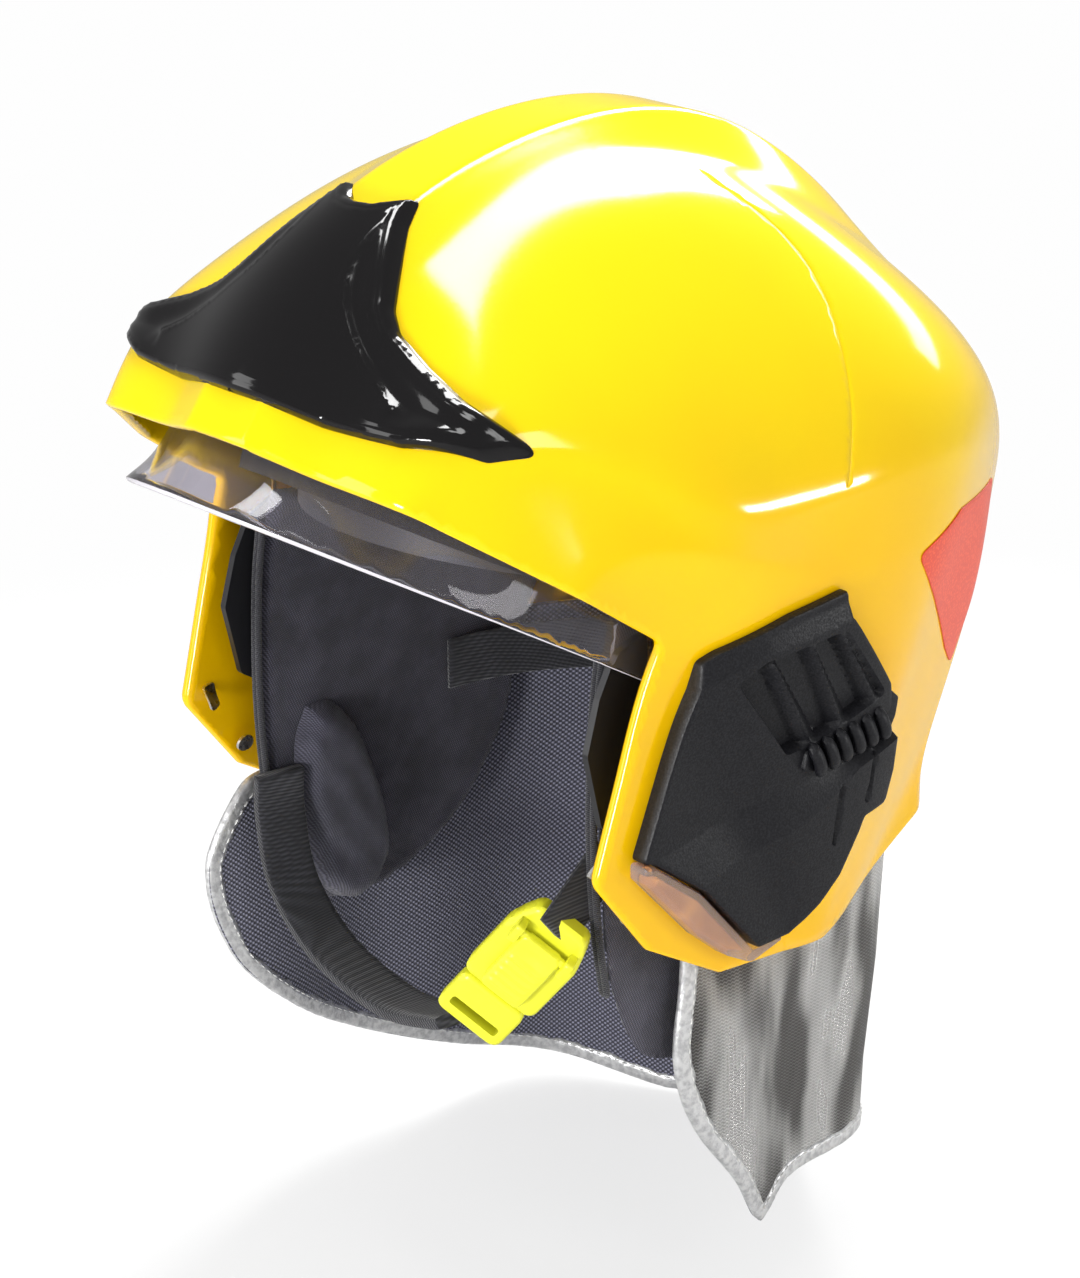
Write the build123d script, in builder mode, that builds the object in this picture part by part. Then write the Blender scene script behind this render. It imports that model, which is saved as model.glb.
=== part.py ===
# Jet style fire helmet with a stowed face shield and a neck curtain.
# Millimetres. The face looks to -Y, the wearer's left is +X, up is +Z.
# The origin is the middle of the head where the headband sits.
import os
from math import cos, pi, radians, sin, sqrt

from build123d import *

os.makedirs("parts", exist_ok=True)

# The hard shell
shell_wall = 4
reach = 320
form_axis_height = -150
wall_foot_width = 100
wall_foot_share = 0.08

# Cross-sections of the shell in half-planes that turn about a line below
# the chin: angle from the front, crown radius, half width and radius at the
# crest edge, at the crest foot, at the belt and at the lower crease.
form_rows = [
    (30, 240, 13, 1, 24, 7, 66, 200, 98, 150),
    (42, 246, 13, 1, 27, 8, 68, 216, 99, 165),
    (53, 252, 13, 1, 29, 9, 72, 228, 101, 184),
    (62, 267, 13, 1, 30, 10, 86, 227, 104, 194),
    (71, 275, 13, 1, 30, 10, 109, 197, 113, 178),
    (80, 277, 13, 1, 29, 9, 115, 182, 117, 160),
    (90, 276, 13, 1, 31, 12, 118, 178, 118, 150),
    (100, 270, 14, 1, 35, 17, 117, 181, 117, 152),
    (108, 260, 14, 1, 37, 17, 111, 184, 112, 158),
    (116, 248, 14, 1, 37, 13, 99, 187, 102, 163),
    (125, 232, 14, 1, 36, 7, 82, 190, 90, 162),
    (135, 206, 14, 1, 34, 4, 66, 176, 80, 142),
    (146, 164, 14, 1, 32, 3, 54, 138, 78, 102),
    (158, 138, 14, 1, 30, 3, 56, 116, 82, 82),
    (170, 122, 14, 1, 30, 3, 60, 100, 86, 68),
]
dome_start_slope = -20
dome_end_slope = -76
dome_pull = 1.1


def half_plane(angle, height=form_axis_height, depth=0):
    turn = radians(angle)
    return Plane(
        origin=(0, depth, height), x_dir=(1, 0, 0), z_dir=(0, -sin(turn), -cos(turn))
    )


def pointing(slope):
    return (cos(radians(slope)), sin(radians(slope)))


def helmet_form(grow):
    """The shape of the helmet, grown or shrunk evenly."""
    with BuildPart() as body:
        for row in form_rows:
            angle, crown, crest, drop, foot, fall, belt, belt_at, low, low_at = row
            edge_at = crown + grow - drop
            foot_at = crown + grow - fall
            foot_x = foot + grow / 3
            belt_x = belt + grow
            low_x = low + grow
            end_x = wall_foot_width + grow
            end_at = low_at * wall_foot_share
            with BuildSketch(half_plane(angle)):
                with BuildLine():
                    Line((-crest, edge_at), (crest, edge_at))
                    Line((crest, edge_at), (foot_x, foot_at))
                    Spline(
                        (foot_x, foot_at),
                        (belt_x, belt_at),
                        tangents=[pointing(dome_start_slope), pointing(dome_end_slope)],
                        tangent_scalars=[dome_pull, dome_pull],
                    )
                    Line((belt_x, belt_at), (low_x, low_at))
                    Line((low_x, low_at), (end_x, end_at))
                    mirror(about=Plane.YZ)
                    Line((end_x, end_at), (-end_x, end_at))
                make_face()
        loft()
    return body.part



# The lower edge of the shell seen from the side: brow, jaw and nape
brow_front = (-152, 52)
brow_corner = (-70, -7)
jaw_front = (-91, -80)
jaw_low = (-56, -125)
jaw_rear = (8, -131)
nape_low = (60, -119)
nape_end = (128, -103)
opening_corner = 6


def beyond(start, end, extra):
    """The point that lies past the end of a line by a given length."""
    run = sqrt((end[0] - start[0]) ** 2 + (end[1] - start[1]) ** 2)
    share = extra / run
    return (end[0] + (end[0] - start[0]) * share, end[1] + (end[1] - start[1]) * share)


with BuildSketch(Plane.YZ) as shell_opening:
    with BuildLine():
        FilletPolyline(
            beyond(brow_corner, brow_front, reach / 4),
            brow_corner,
            jaw_front,
            jaw_low,
            jaw_rear,
            nape_low,
            nape_end,
            radius=opening_corner,
        )
        Polyline(
            nape_end,
            (reach, nape_end[1]),
            (reach, -reach),
            (-reach, -reach),
            (-reach, reach / 4),
            beyond(brow_corner, brow_front, reach / 4),
        )
    make_face()


outer_form = helmet_form(0)
inner_form = helmet_form(-shell_wall)
with BuildPart() as outer_shell:
    add(outer_form)
    extrude(shell_opening.sketch, amount=reach / 2, both=True, mode=Mode.SUBTRACT)
    add(inner_form, mode=Mode.SUBTRACT)
outer_shell.part.label = "outer_shell"

# Layers that follow the shell, outside of it
seat = 0.15
cover_floor = 2.2
cover_skin = 6
cover_bulge = 8.5
plate_lip = 1.6
plate_skin = 3.4
sticker_skin = 0.6
seat_form = helmet_form(seat)
floor_form = helmet_form(cover_floor)
skin_form = helmet_form(cover_skin)
bulge_form = helmet_form(cover_bulge)

# Front plate with its two peaks, drawn on a plane that faces the forehead
plate_tilt = 41
plate_half = [
    (0, 22),
    (6, 23),
    (15, 30),
    (19, 20),
    (25, 9),
    (33, -6),
    (39, -12),
    (53, -18),
    (68, -23),
    (88, -26),
    (80, -36),
    (60, -43),
    (32, -46),
    (0, -47),
]
plate_border = 4
forehead = Plane(
    origin=(0, 0, 0),
    x_dir=(1, 0, 0),
    z_dir=(0, -cos(radians(plate_tilt)), sin(radians(plate_tilt))),
)
plate_other = [(-x, y) for x, y in plate_half[::-1]]
with BuildSketch(forehead) as plate_outline:
    with BuildLine():
        Polyline(*plate_half, *plate_other[1:])
    make_face()
plate_field = offset(plate_outline.sketch, amount=-plate_border, kind=Kind.INTERSECTION)

lip_form = helmet_form(plate_lip)
plate_form = helmet_form(plate_skin)
with BuildPart() as plate_centre:
    extrude(plate_field, amount=reach)
    add(plate_form, mode=Mode.INTERSECT)

with BuildPart() as front_plate:
    extrude(plate_outline.sketch, amount=reach)
    add(lip_form, mode=Mode.INTERSECT)
    add(plate_centre.part)
    add(seat_form, mode=Mode.SUBTRACT)
front_plate.part.label = "front_plate"

# Side covers, drawn from the side as (y, z)
cover_points = [
    (-59, -15),
    (-54, -12.5),
    (-29, -6),
    (-7, -3),
    (-5.5, -11.6),
    (-1, -17),
    (17.5, -41),
    (21, -55),
    (22, -72),
    (20, -83),
    (9, -84),
    (7, -89),
    (0.5, -102),
    (-7, -110),
    (-18, -117.6),
    (-31, -117.9),
    (-54.6, -91),
    (-74, -76.6),
    (-78.3, -75.2),
    (-72.5, -58.5),
    (-66.5, -42),
    (-60.5, -24),
]
bulge_points = [
    (-73.6, -76),
    (-48, -73),
    (-17, -66),
    (2, -63.5),
    (20.6, -62),
    (21, -72),
    (19, -82),
    (8, -83),
    (6, -88.4),
    (-0.5, -101.4),
    (-7.8, -109),
    (-18.6, -116.6),
    (-30.6, -116.9),
    (-54, -90),
]
recess_points = [(-48, -23), (-39, -18.5), (-8, -15.5), (14.5, -43), (-17, -51.4), (-26.3, -52.4)]
cover_corner = 1.5
recess_rib_width = 3
recess_rib_at = [(-35.6, -20), (-21.6, -17), (-11, -16)]
recess_rib_end = [(-17, -51), (-4, -47), (11, -46.5)]
groove_width = 1.2
groove_lines = [((-4, -69), (-5, -88)), ((10, -64), (8.6, -78))]
groove_depth = 0.8


def side_sketch(points, corner=0, at=0):
    """A closed outline seen from the side, with rounded corners."""
    with BuildSketch(Plane.YZ.offset(at)) as drawn:
        with BuildLine():
            Polyline(*points, close=True)
        make_face()
        if corner:
            fillet(drawn.vertices(), radius=corner)
    return drawn.sketch


def between(start, end, width):
    """Corners of a straight bar of a given width between two points."""
    run = sqrt((end[0] - start[0]) ** 2 + (end[1] - start[1]) ** 2)
    across = ((start[1] - end[1]) / run * width / 2, (end[0] - start[0]) / run * width / 2)
    return [
        (start[0] + across[0], start[1] + across[1]),
        (end[0] + across[0], end[1] + across[1]),
        (end[0] - across[0], end[1] - across[1]),
        (start[0] - across[0], start[1] - across[1]),
    ]


cover_outline = side_sketch(cover_points)
bulge_outline = side_sketch(bulge_points)
recess_outline = side_sketch(recess_points, cover_corner)
rib_outlines = [
    side_sketch(between(start, end, recess_rib_width))
    for start, end in zip(recess_rib_at, recess_rib_end)
]
groove_outlines = [side_sketch(between(start, end, groove_width)) for start, end in groove_lines]
groove_form = helmet_form(cover_bulge - groove_depth)

with BuildPart() as recess_space:
    extrude(recess_outline, amount=reach / 2)
    for outline in rib_outlines:
        extrude(outline, amount=reach / 2, mode=Mode.SUBTRACT)
    add(floor_form, mode=Mode.SUBTRACT)

with BuildPart() as cover_grooves:
    for outline in groove_outlines:
        extrude(outline, amount=reach / 2)
    add(groove_form, mode=Mode.SUBTRACT)

with BuildPart() as cover_lower:
    extrude(bulge_outline, amount=reach / 2)
    add(bulge_form, mode=Mode.INTERSECT)

with BuildPart() as side_cover_left:
    extrude(cover_outline, amount=reach / 2)
    add(skin_form, mode=Mode.INTERSECT)
    add(cover_lower.part)
    add(seat_form, mode=Mode.SUBTRACT)
    add(recess_space.part, mode=Mode.SUBTRACT)
    add(cover_grooves.part, mode=Mode.SUBTRACT)
side_cover_left.part.label = "side_cover_left"

# The comb at the foot of the recess that holds the mask hook
comb_front = (-19, -56)
comb_rear = (16.5, -53)
comb_height = 10.5
comb_outer = 119
comb_inner = 109
comb_teeth = 6
tooth_radius = 2.3
tooth_height = 11
tooth_proud = 0.6
comb_tab = (18, -49)
comb_tab_size = (9, 8)


def along(start, end, share):
    return (start[0] + (end[0] - start[0]) * share, start[1] + (end[1] - start[1]) * share)


comb_form = helmet_form(cover_skin + seat)
with BuildPart() as mask_rack_left:
    with BuildSketch(Plane.YZ.offset(comb_inner)):
        with BuildLine():
            Polyline(*between(comb_front, comb_rear, comb_height), close=True)
        make_face()
        with Locations(comb_tab):
            RectangleRounded(*comb_tab_size, cover_corner)
    extrude(amount=comb_outer - comb_inner)
    for number in range(comb_teeth):
        tooth_y, tooth_z = along(comb_front, comb_rear, (number + 0.5) / comb_teeth)
        with Locations((comb_outer - tooth_radius + tooth_proud, tooth_y, tooth_z)):
            Cylinder(tooth_radius, tooth_height)
    add(comb_form, mode=Mode.SUBTRACT)
mask_rack_left.part.label = "mask_rack_left"

# Lamp in the lower front corner of the cover: a clear lens over an insert
lens_points = [
    (-78.8, -76),
    (-74, -77.4),
    (-55, -91.8),
    (-31.4, -118.5),
    (-18, -118.2),
    (-18, -120.2),
    (-31.8, -123.6),
    (-41.4, -118.3),
    (-54, -107.7),
    (-78.6, -81),
]
lens_wall = 1.6
lens_skin = 7.5
insert_points = [(-74, -80), (-56, -94), (-34, -119), (-41, -116.2), (-54, -105.5), (-74, -83.5)]

lens_outline = side_sketch(lens_points)
insert_outline = side_sketch(insert_points)
insert_gap = 0.2
lens_form = helmet_form(lens_skin)
insert_form = helmet_form(cover_skin - insert_gap)
insert_edge = offset(insert_outline, amount=-insert_gap, kind=Kind.INTERSECTION)

with BuildPart() as insert_space:
    extrude(insert_outline, amount=reach / 2)
    add(skin_form, mode=Mode.INTERSECT)

with BuildPart() as lamp_lens_left:
    extrude(lens_outline, amount=reach / 2)
    add(lens_form, mode=Mode.INTERSECT)
    add(seat_form, mode=Mode.SUBTRACT)
    add(insert_space.part, mode=Mode.SUBTRACT)
lamp_lens_left.part.label = "lamp_lens_left"

with BuildPart() as lamp_insert_left:
    extrude(insert_edge, amount=reach / 2)
    add(insert_form, mode=Mode.INTERSECT)
    add(seat_form, mode=Mode.SUBTRACT)
lamp_insert_left.part.label = "lamp_insert_left"

# Reflective sticker on the rear quarter
sticker_points = [(30, -3), (60, 3), (106, -4), (104, -40), (90, -66), (78, -55), (63, -38), (43, -18)]
sticker_outline = side_sketch(sticker_points)
sticker_form = helmet_form(sticker_skin)
with BuildPart() as sticker_left:
    extrude(sticker_outline, amount=reach / 2)
    add(sticker_form, mode=Mode.INTERSECT)
    add(seat_form, mode=Mode.SUBTRACT)
sticker_left.part.label = "sticker_left"

# Both visors turn about one line through the temples
pivot_height = -16
shield_half_width = 93.5
shield_wall = 2.2
visor_inset = 5.4
visor_wall = 2
pocket_inset = 8.6
visor_rows = [
    (42, 252, 148),
    (47.5, 252.5, 158),
    (53, 245.3, 160),
    (62, 258.5, 166),
    (71, 267, 166),
    (80, 269, 162),
    (90, 267, 158),
    (102, 255, 160),
]
visor_foot = 20
visor_pull = 0.86


def visor_form(shrink):
    """The shape shared by the face shield and the eye visor."""
    with BuildPart() as body:
        for angle, crown, shoulder in visor_rows:
            half = shield_half_width - shrink
            with BuildSketch(half_plane(angle)):
                with BuildLine():
                    Line((half, visor_foot), (half, shoulder))
                    Spline(
                        (half, shoulder),
                        (0, crown - shrink),
                        tangents=[(0, 1), (-1, 0)],
                        tangent_scalars=[visor_pull, visor_pull],
                    )
                    mirror(about=Plane.YZ)
                    Line((half, visor_foot), (-half, visor_foot))
                make_face()
        loft()
    return body.part


shield_points = [
    (-190, 51),
    (-64, -24.5),
    (-52, -28),
    (8, -28),
    (12, -24),
    (12, -8),
    (6, -3),
    (-34, -2),
    (-62, 16),
    (-66, 125),
    (-190, 125),
]
shield_corner = 4
bolt_radius = 4.2
bolt_gap = 0.4
bolt_at = (0, pivot_height)
shield_outline = side_sketch(shield_points, shield_corner)
shield_outside = visor_form(0)
shield_inside = visor_form(shield_wall)
with BuildPart() as face_shield:
    extrude(shield_outline, amount=reach / 2, both=True)
    add(shield_outside, mode=Mode.INTERSECT)
    add(shield_inside, mode=Mode.SUBTRACT)
    with BuildSketch(Plane.YZ):
        with Locations(bolt_at):
            Circle(bolt_radius + bolt_gap)
    extrude(amount=reach / 2, both=True, mode=Mode.SUBTRACT)
face_shield.part.label = "face_shield"

# Tinted eye visor behind the shield, round about its pivots so it slides past the liner
visor_points = [
    (-190, 110),
    (-118, 44),
    (-70, 22),
    (-60, -4),
    (-57.5, -38),
    (-46, -38),
    (-44, -14),
    (-42, 30),
    (-54, 140),
    (-190, 140),
]
dome_half_width = shield_half_width - visor_inset
dome_crown = 134
dome_shoulder = 62
dome_pull = 0.7
dome_plane = Plane(origin=(0, 0, pivot_height), x_dir=(1, 0, 0), z_dir=(0, -1, 0))
pivot_line = Axis((0, 0, pivot_height), (1, 0, 0))


def dome_form(shrink):
    """A bowl turned about the line of the pivots."""
    half = dome_half_width - shrink
    with BuildPart() as body:
        with BuildSketch(dome_plane):
            with BuildLine():
                Line((half, 0), (half, dome_shoulder))
                Spline(
                    (half, dome_shoulder),
                    (0, dome_crown - shrink),
                    tangents=[(0, 1), (-1, 0)],
                    tangent_scalars=[dome_pull, dome_pull],
                )
                mirror(about=Plane.YZ)
                Line((half, 0), (-half, 0))
            make_face()
        revolve(axis=pivot_line)
    return body.part


visor_outline = side_sketch(visor_points, shield_corner)
visor_outside = dome_form(0)
visor_inside = dome_form(visor_wall)
carrier_gap = 0.15
carrier_screw_at = [(-54, -31), (-51, -18)]
screw_radius = 1.5
with BuildPart() as eye_visor:
    extrude(visor_outline, amount=reach / 2, both=True)
    add(visor_outside, mode=Mode.INTERSECT)
    add(visor_inside, mode=Mode.SUBTRACT)
    with BuildSketch(Plane.YZ):
        with Locations(carrier_screw_at):
            Circle(screw_radius + carrier_gap)
    extrude(amount=reach / 2, both=True, mode=Mode.SUBTRACT)
eye_visor.part.label = "eye_visor"

# Black carriers hold the lens and turn on the bolts
carrier_points = [
    (-71, -15),
    (-78, -28),
    (-83, -45),
    (-77, -70),
    (-66, -77),
    (-61, -66),
    (-64, -46),
    (-40, -28),
    (6, -28),
    (12, -22),
    (12, -10),
    (6, -4),
    (-40, -12),
    (-62, -12),
]
carrier_corner = 3
carrier_wall = 2.4
carrier_face = shield_half_width - visor_inset - visor_wall - carrier_gap
screw_head_radius = 3.6
screw_head = 1.1
screw_slot = (5, 1)
carrier_back = carrier_face - carrier_wall
lens_face = shield_half_width - visor_inset
carrier_outline = side_sketch(carrier_points, carrier_corner, carrier_back)
with BuildPart() as visor_carrier_left:
    extrude(carrier_outline, amount=carrier_wall)
    with BuildSketch(Plane.YZ.offset(carrier_back)):
        with Locations(bolt_at):
            Circle(bolt_radius + bolt_gap)
        with Locations(carrier_screw_at):
            Circle(screw_radius + carrier_gap)
    extrude(amount=carrier_wall, mode=Mode.SUBTRACT)
visor_carrier_left.part.label = "visor_carrier_left"

with BuildPart() as carrier_screws:
    with BuildSketch(Plane.YZ.offset(carrier_back - carrier_gap - screw_head)):
        with Locations(carrier_screw_at):
            Circle(screw_head_radius)
    extrude(amount=screw_head)
    with BuildSketch(Plane.YZ.offset(carrier_back - carrier_gap)):
        with Locations(carrier_screw_at):
            Circle(screw_radius)
    extrude(amount=lens_face - carrier_back)
    with BuildSketch(Plane.YZ.offset(carrier_back - carrier_gap - screw_head)):
        with Locations(carrier_screw_at):
            Rectangle(*screw_slot)
    extrude(amount=screw_head / 2, mode=Mode.SUBTRACT)
    mirror(about=Plane.YZ)
carrier_screws.part.label = "carrier_screws"

# Pivot bolts stand on the inner wall of the shell and carry both visors
boss_radius = 9
boss_gap = 0.5
bolt_head = 1.6
bolt_head_radius = 7.5
bolt_head_gap = 0.4
bolt_inner = carrier_back - bolt_head_gap - bolt_head
wall_form = helmet_form(-shell_wall - seat)
with BuildPart() as pivot_bolt_left:
    with BuildSketch(Plane.YZ.offset(shield_half_width + boss_gap)):
        with Locations(bolt_at):
            Circle(boss_radius)
    extrude(amount=reach / 8)
    add(wall_form, mode=Mode.INTERSECT)
    with BuildSketch(Plane.YZ.offset(bolt_inner)):
        with Locations(bolt_at):
            Circle(bolt_radius)
    extrude(amount=shield_half_width + boss_gap - bolt_inner)
    with BuildSketch(Plane.YZ.offset(bolt_inner)):
        with Locations(bolt_at):
            Circle(bolt_head_radius)
    extrude(amount=bolt_head)
pivot_bolt_left.part.label = "pivot_bolt_left"

# The liners follow one head shape
head_half_width = 80
head_half_depth = 104
head_half_height = 88
head_at_y = 2
liner_inset = 17
cap_gap = 0.4
cap_wall = 3.2
band_gap = 0.3


def head_shape(shrink):
    """The head, taken in by a given amount."""
    size = (head_half_width - shrink, head_half_depth - shrink, head_half_height - shrink)
    return Pos(0, head_at_y, 0) * scale(Sphere(1), by=size)


head_skin = head_shape(0)
cap_outside = head_shape(cap_gap)
cap_inside = head_shape(cap_gap + cap_wall)


liner_points = [
    (-190, 66),
    (-84, 6),
    (-58, -8),
    (-20, 4),
    (22, 4),
    (34, -12),
    (190, -18),
    (190, 190),
    (-190, 190),
]
pocket_rear = 17
sweep_rear = -38
sweep_gap = 1.2
pocket_form = visor_form(pocket_inset)
sweep_form = dome_form(visor_wall + sweep_gap)
liner_form = helmet_form(-liner_inset)
liner_outline = side_sketch(liner_points)
with BuildPart() as visor_pocket:
    with Locations((0, pocket_rear - reach / 2, 0)):
        Box(reach, reach, reach)
    add(pocket_form, mode=Mode.SUBTRACT)

with BuildPart() as sweep_pocket:
    with Locations((0, sweep_rear - reach / 2, 0)):
        Box(reach, reach, reach)
    add(sweep_form, mode=Mode.SUBTRACT)

with BuildPart() as impact_liner:
    extrude(liner_outline, amount=reach / 2, both=True)
    add(liner_form, mode=Mode.INTERSECT)
    add(visor_pocket.part, mode=Mode.SUBTRACT)
    add(sweep_pocket.part, mode=Mode.SUBTRACT)
    add(head_skin, mode=Mode.SUBTRACT)
impact_liner.part.label = "impact_liner"

# Cloth cap and headband, one above the other
cap_edge = [(-190, 53), (190, -27)]
band_height = 27


def lowered(points, drop):
    return [(y, z - drop) for y, z in points]


cap_outline = side_sketch([*cap_edge, (190, 190), (-190, 190)])
band_outline = side_sketch(
    [*lowered(cap_edge, band_gap), *lowered(cap_edge, band_gap + band_height)[::-1]]
)
with BuildPart() as crown_cap:
    extrude(cap_outline, amount=reach / 2, both=True)
    add(cap_outside, mode=Mode.INTERSECT)
    add(cap_inside, mode=Mode.SUBTRACT)
crown_cap.part.label = "crown_cap"

with BuildPart() as headband:
    extrude(band_outline, amount=reach / 2, both=True)
    add(cap_outside, mode=Mode.INTERSECT)
    add(cap_inside, mode=Mode.SUBTRACT)
headband.part.label = "headband"

brow_points = [(-190, 46), (-40, 16), (-40, -4), (-190, 28)]
brow_half_width = 50
brow_pad_wall = 6
brow_round = 2
brow_outline = side_sketch(brow_points, brow_round)
brow_outside = head_shape(cap_gap + cap_wall + seat)
brow_inside = head_shape(cap_gap + cap_wall + seat + brow_pad_wall)
with BuildPart() as brow_pad:
    extrude(brow_outline, amount=brow_half_width, both=True)
    add(brow_outside, mode=Mode.INTERSECT)
    add(brow_inside, mode=Mode.SUBTRACT)
brow_pad.part.label = "brow_pad"

# Size adjuster at the nape: a fixed housing, a knob and a sliding cradle
housing_at = (95.5, -53.2)
housing_size = (40, 9, 35.6)
housing_round = 5
knob_height = -55
knob_radius = 16
knob_depth = 11
knob_gap = 0.5
knob_ribs = 18
knob_rib_radius = 1
shaft_radius = 3.5
shaft_gap = 0.4
pin_radius = 2.2
pin_apart = 26
pin_length = 15.5
cradle_half_width = 60
cradle_half_depth = 84
cradle_wall = 4
cradle_height = 30
cradle_reach = 36
housing_front = housing_at[0] - housing_size[1] / 2
housing_back = housing_at[0] + housing_size[1] / 2
facing_back = Plane(origin=(0, 0, knob_height), x_dir=(-1, 0, 0), z_dir=(0, 1, 0))

with BuildPart() as ratchet_housing:
    with Locations((0, *housing_at)):
        Box(*housing_size)
    fillet(ratchet_housing.edges().filter_by(Axis.Y), radius=housing_round)
    with BuildSketch(facing_back.offset(housing_front)):
        Circle(shaft_radius + shaft_gap)
        with GridLocations(pin_apart, 0, 2, 1):
            Circle(pin_radius + shaft_gap)
    extrude(amount=housing_size[1], mode=Mode.SUBTRACT)
ratchet_housing.part.label = "ratchet_housing"

with BuildPart() as ratchet_knob:
    with BuildSketch(facing_back.offset(housing_back + knob_gap)):
        Circle(knob_radius)
        with PolarLocations(knob_radius, knob_ribs):
            Circle(knob_rib_radius)
    extrude(amount=knob_depth)
    with BuildSketch(facing_back.offset(housing_front)):
        Circle(shaft_radius)
    extrude(amount=housing_size[1] + knob_gap + knob_rib_radius)
ratchet_knob.part.label = "ratchet_knob"

with BuildPart() as nape_cradle:
    with BuildSketch(Plane.XY.offset(knob_height - cradle_height / 2)):
        Ellipse(cradle_half_width + cradle_wall, cradle_half_depth + cradle_wall)
        Ellipse(cradle_half_width, cradle_half_depth, mode=Mode.SUBTRACT)
        with Locations((0, reach / 2 + cradle_half_depth * 0.7)):
            Rectangle(cradle_reach * 2, reach, mode=Mode.INTERSECT)
    extrude(amount=cradle_height)
    with BuildSketch(facing_back.offset(cradle_half_depth)):
        with GridLocations(pin_apart, 0, 2, 1):
            Circle(pin_radius)
    extrude(amount=pin_length)
nape_cradle.part.label = "nape_cradle"

# Webbing across the back of the head
webbing_half_width = 76.8
webbing_half_depth = 84
webbing_wall = 1.6
webbing_height = 18
webbing_top = -80
webbing_front = 8
with BuildPart() as nape_webbing:
    with BuildSketch(Plane.XY.offset(webbing_top - webbing_height)):
        Ellipse(webbing_half_width, webbing_half_depth)
        Ellipse(
            webbing_half_width - webbing_wall,
            webbing_half_depth - webbing_wall,
            mode=Mode.SUBTRACT,
        )
        with Locations((0, reach / 2 + webbing_front)):
            Rectangle(reach, reach, mode=Mode.INTERSECT)
    extrude(amount=webbing_height)
nape_webbing.part.label = "nape_webbing"

# Padded side panels of the liner, with a cord along the front edge
panel_inner = 77
panel_wall = 3.6
panel_front = [(-66, -8), (-71, -40), (-72, -75), (-70, -107), (-66, -132), (-52, -158)]
panel_back = [(-22, -164), (12, -150), (36, -122), (46, -92), (57, -62), (57, -34), (52, -28)]
piping_top = (-68.4, -18)
panel_round = 1.2
panel_corner = 5
cord_radius = 2
cord_gap = 2.3
cord_x = panel_inner + panel_wall / 2
with BuildPart() as side_liner_left:
    with BuildSketch(Plane.YZ.offset(panel_inner)) as panel_outline:
        with BuildLine():
            Spline(*panel_front, *panel_back[:-1])
            Polyline(panel_back[-2], panel_back[-1], panel_front[0])
        make_face()
        fillet(panel_outline.vertices(), radius=panel_corner)
    extrude(amount=panel_wall)
    fillet(side_liner_left.faces().sort_by(Axis.X)[0].edges(), radius=panel_round)
side_liner_left.part.label = "side_liner_left"

with BuildPart() as liner_piping_left:
    with BuildLine(Plane.YZ.offset(cord_x)) as cord_path:
        Spline(*[(y - cord_gap, z) for y, z in [piping_top, *panel_front[1:-1]]])
    with BuildSketch(cord_path.line ^ 0):
        Circle(cord_radius)
    sweep()
liner_piping_left.part.label = "liner_piping_left"

# Ear pads, cushions on the inner face of the panels
ear_points = [
    (-56, -86),
    (-44, -88),
    (-33, -104),
    (-23, -138),
    (-26, -154),
    (-38, -162),
    (-52, -152),
    (-60, -120),
    (-61, -98),
]
ear_wall = 10
ear_gap = 0.2
ear_round = 4.5
with BuildPart() as ear_pad_left:
    with BuildSketch(Plane.YZ.offset(panel_inner - ear_gap)):
        with BuildLine():
            Spline(*ear_points, periodic=True)
        make_face()
    extrude(amount=-ear_wall)
    fillet(ear_pad_left.faces().sort_by(Axis.X)[0].edges(), radius=ear_round)
ear_pad_left.part.label = "ear_pad_left"

# Chin strap: a padded band from the right panel under the chin
strap_turn = 10
strap_plane = Plane(
    origin=(0, -84, 0),
    x_dir=(cos(radians(strap_turn)), -sin(radians(strap_turn)), 0),
    z_dir=(-sin(radians(strap_turn)), -cos(radians(strap_turn)), 0),
)
strap_line = [(-74, -104), (-74, -120), (-66, -142), (-40, -156), (0, -158), (32, -149), (41, -144)]
strap_wall = 4.4
strap_width = 18
strap_round = 1.6
with BuildPart() as strap_band:
    with BuildSketch(strap_plane):
        with BuildLine() as strap_middle:
            Spline(*strap_line)
        trace(lines=strap_middle.line, line_width=strap_wall)
    extrude(amount=strap_width / 2, both=True)

# Quick-release buckle on the wearer's left
buckle_at = (65, -86, -116)
buckle_plane = Plane(origin=buckle_at, x_dir=(0.6, 0.19, 0.78), z_dir=(0.455, -0.848, -0.143))
body_size = (38, 27, 7)
body_round = 4
pocket_size = (11, 13, 3.8)
pocket_gap = 0.4
lever_size = (26, 15, 3.6)
lever_at = (-2.5, 0)
lever_rise = 0.8
lever_round = 3
lever_ribs = 5
lever_rib = (1.4, 11, 0.7)
lever_rib_step = 3
lever_pin_at = 9
lever_pin_radius = 1.4
lug_size = (7, 3)
lug_gap = 0.4
lug_rise = 1.2
tongue_size = (18, 24, 6)
tongue_gap = 0.5
strap_slot = (3.6, 18)
strap_slot_at = -3
body_top = body_size[2] / 2
lever_floor = body_top + lever_rise
lever_middle = lever_floor + lever_size[2] / 2
lug_across = lever_size[1] + 2 * lug_gap + lug_size[1]
lever_top = lever_floor + lever_size[2]
lug_top = lever_top + lug_rise
tongue_at = -body_size[0] / 2 - tongue_gap - tongue_size[0] / 2
pin_line = Plane(
    origin=buckle_plane.from_local_coords((lever_pin_at, 0, lever_middle)),
    x_dir=buckle_plane.x_dir,
    z_dir=buckle_plane.y_dir,
)

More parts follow.
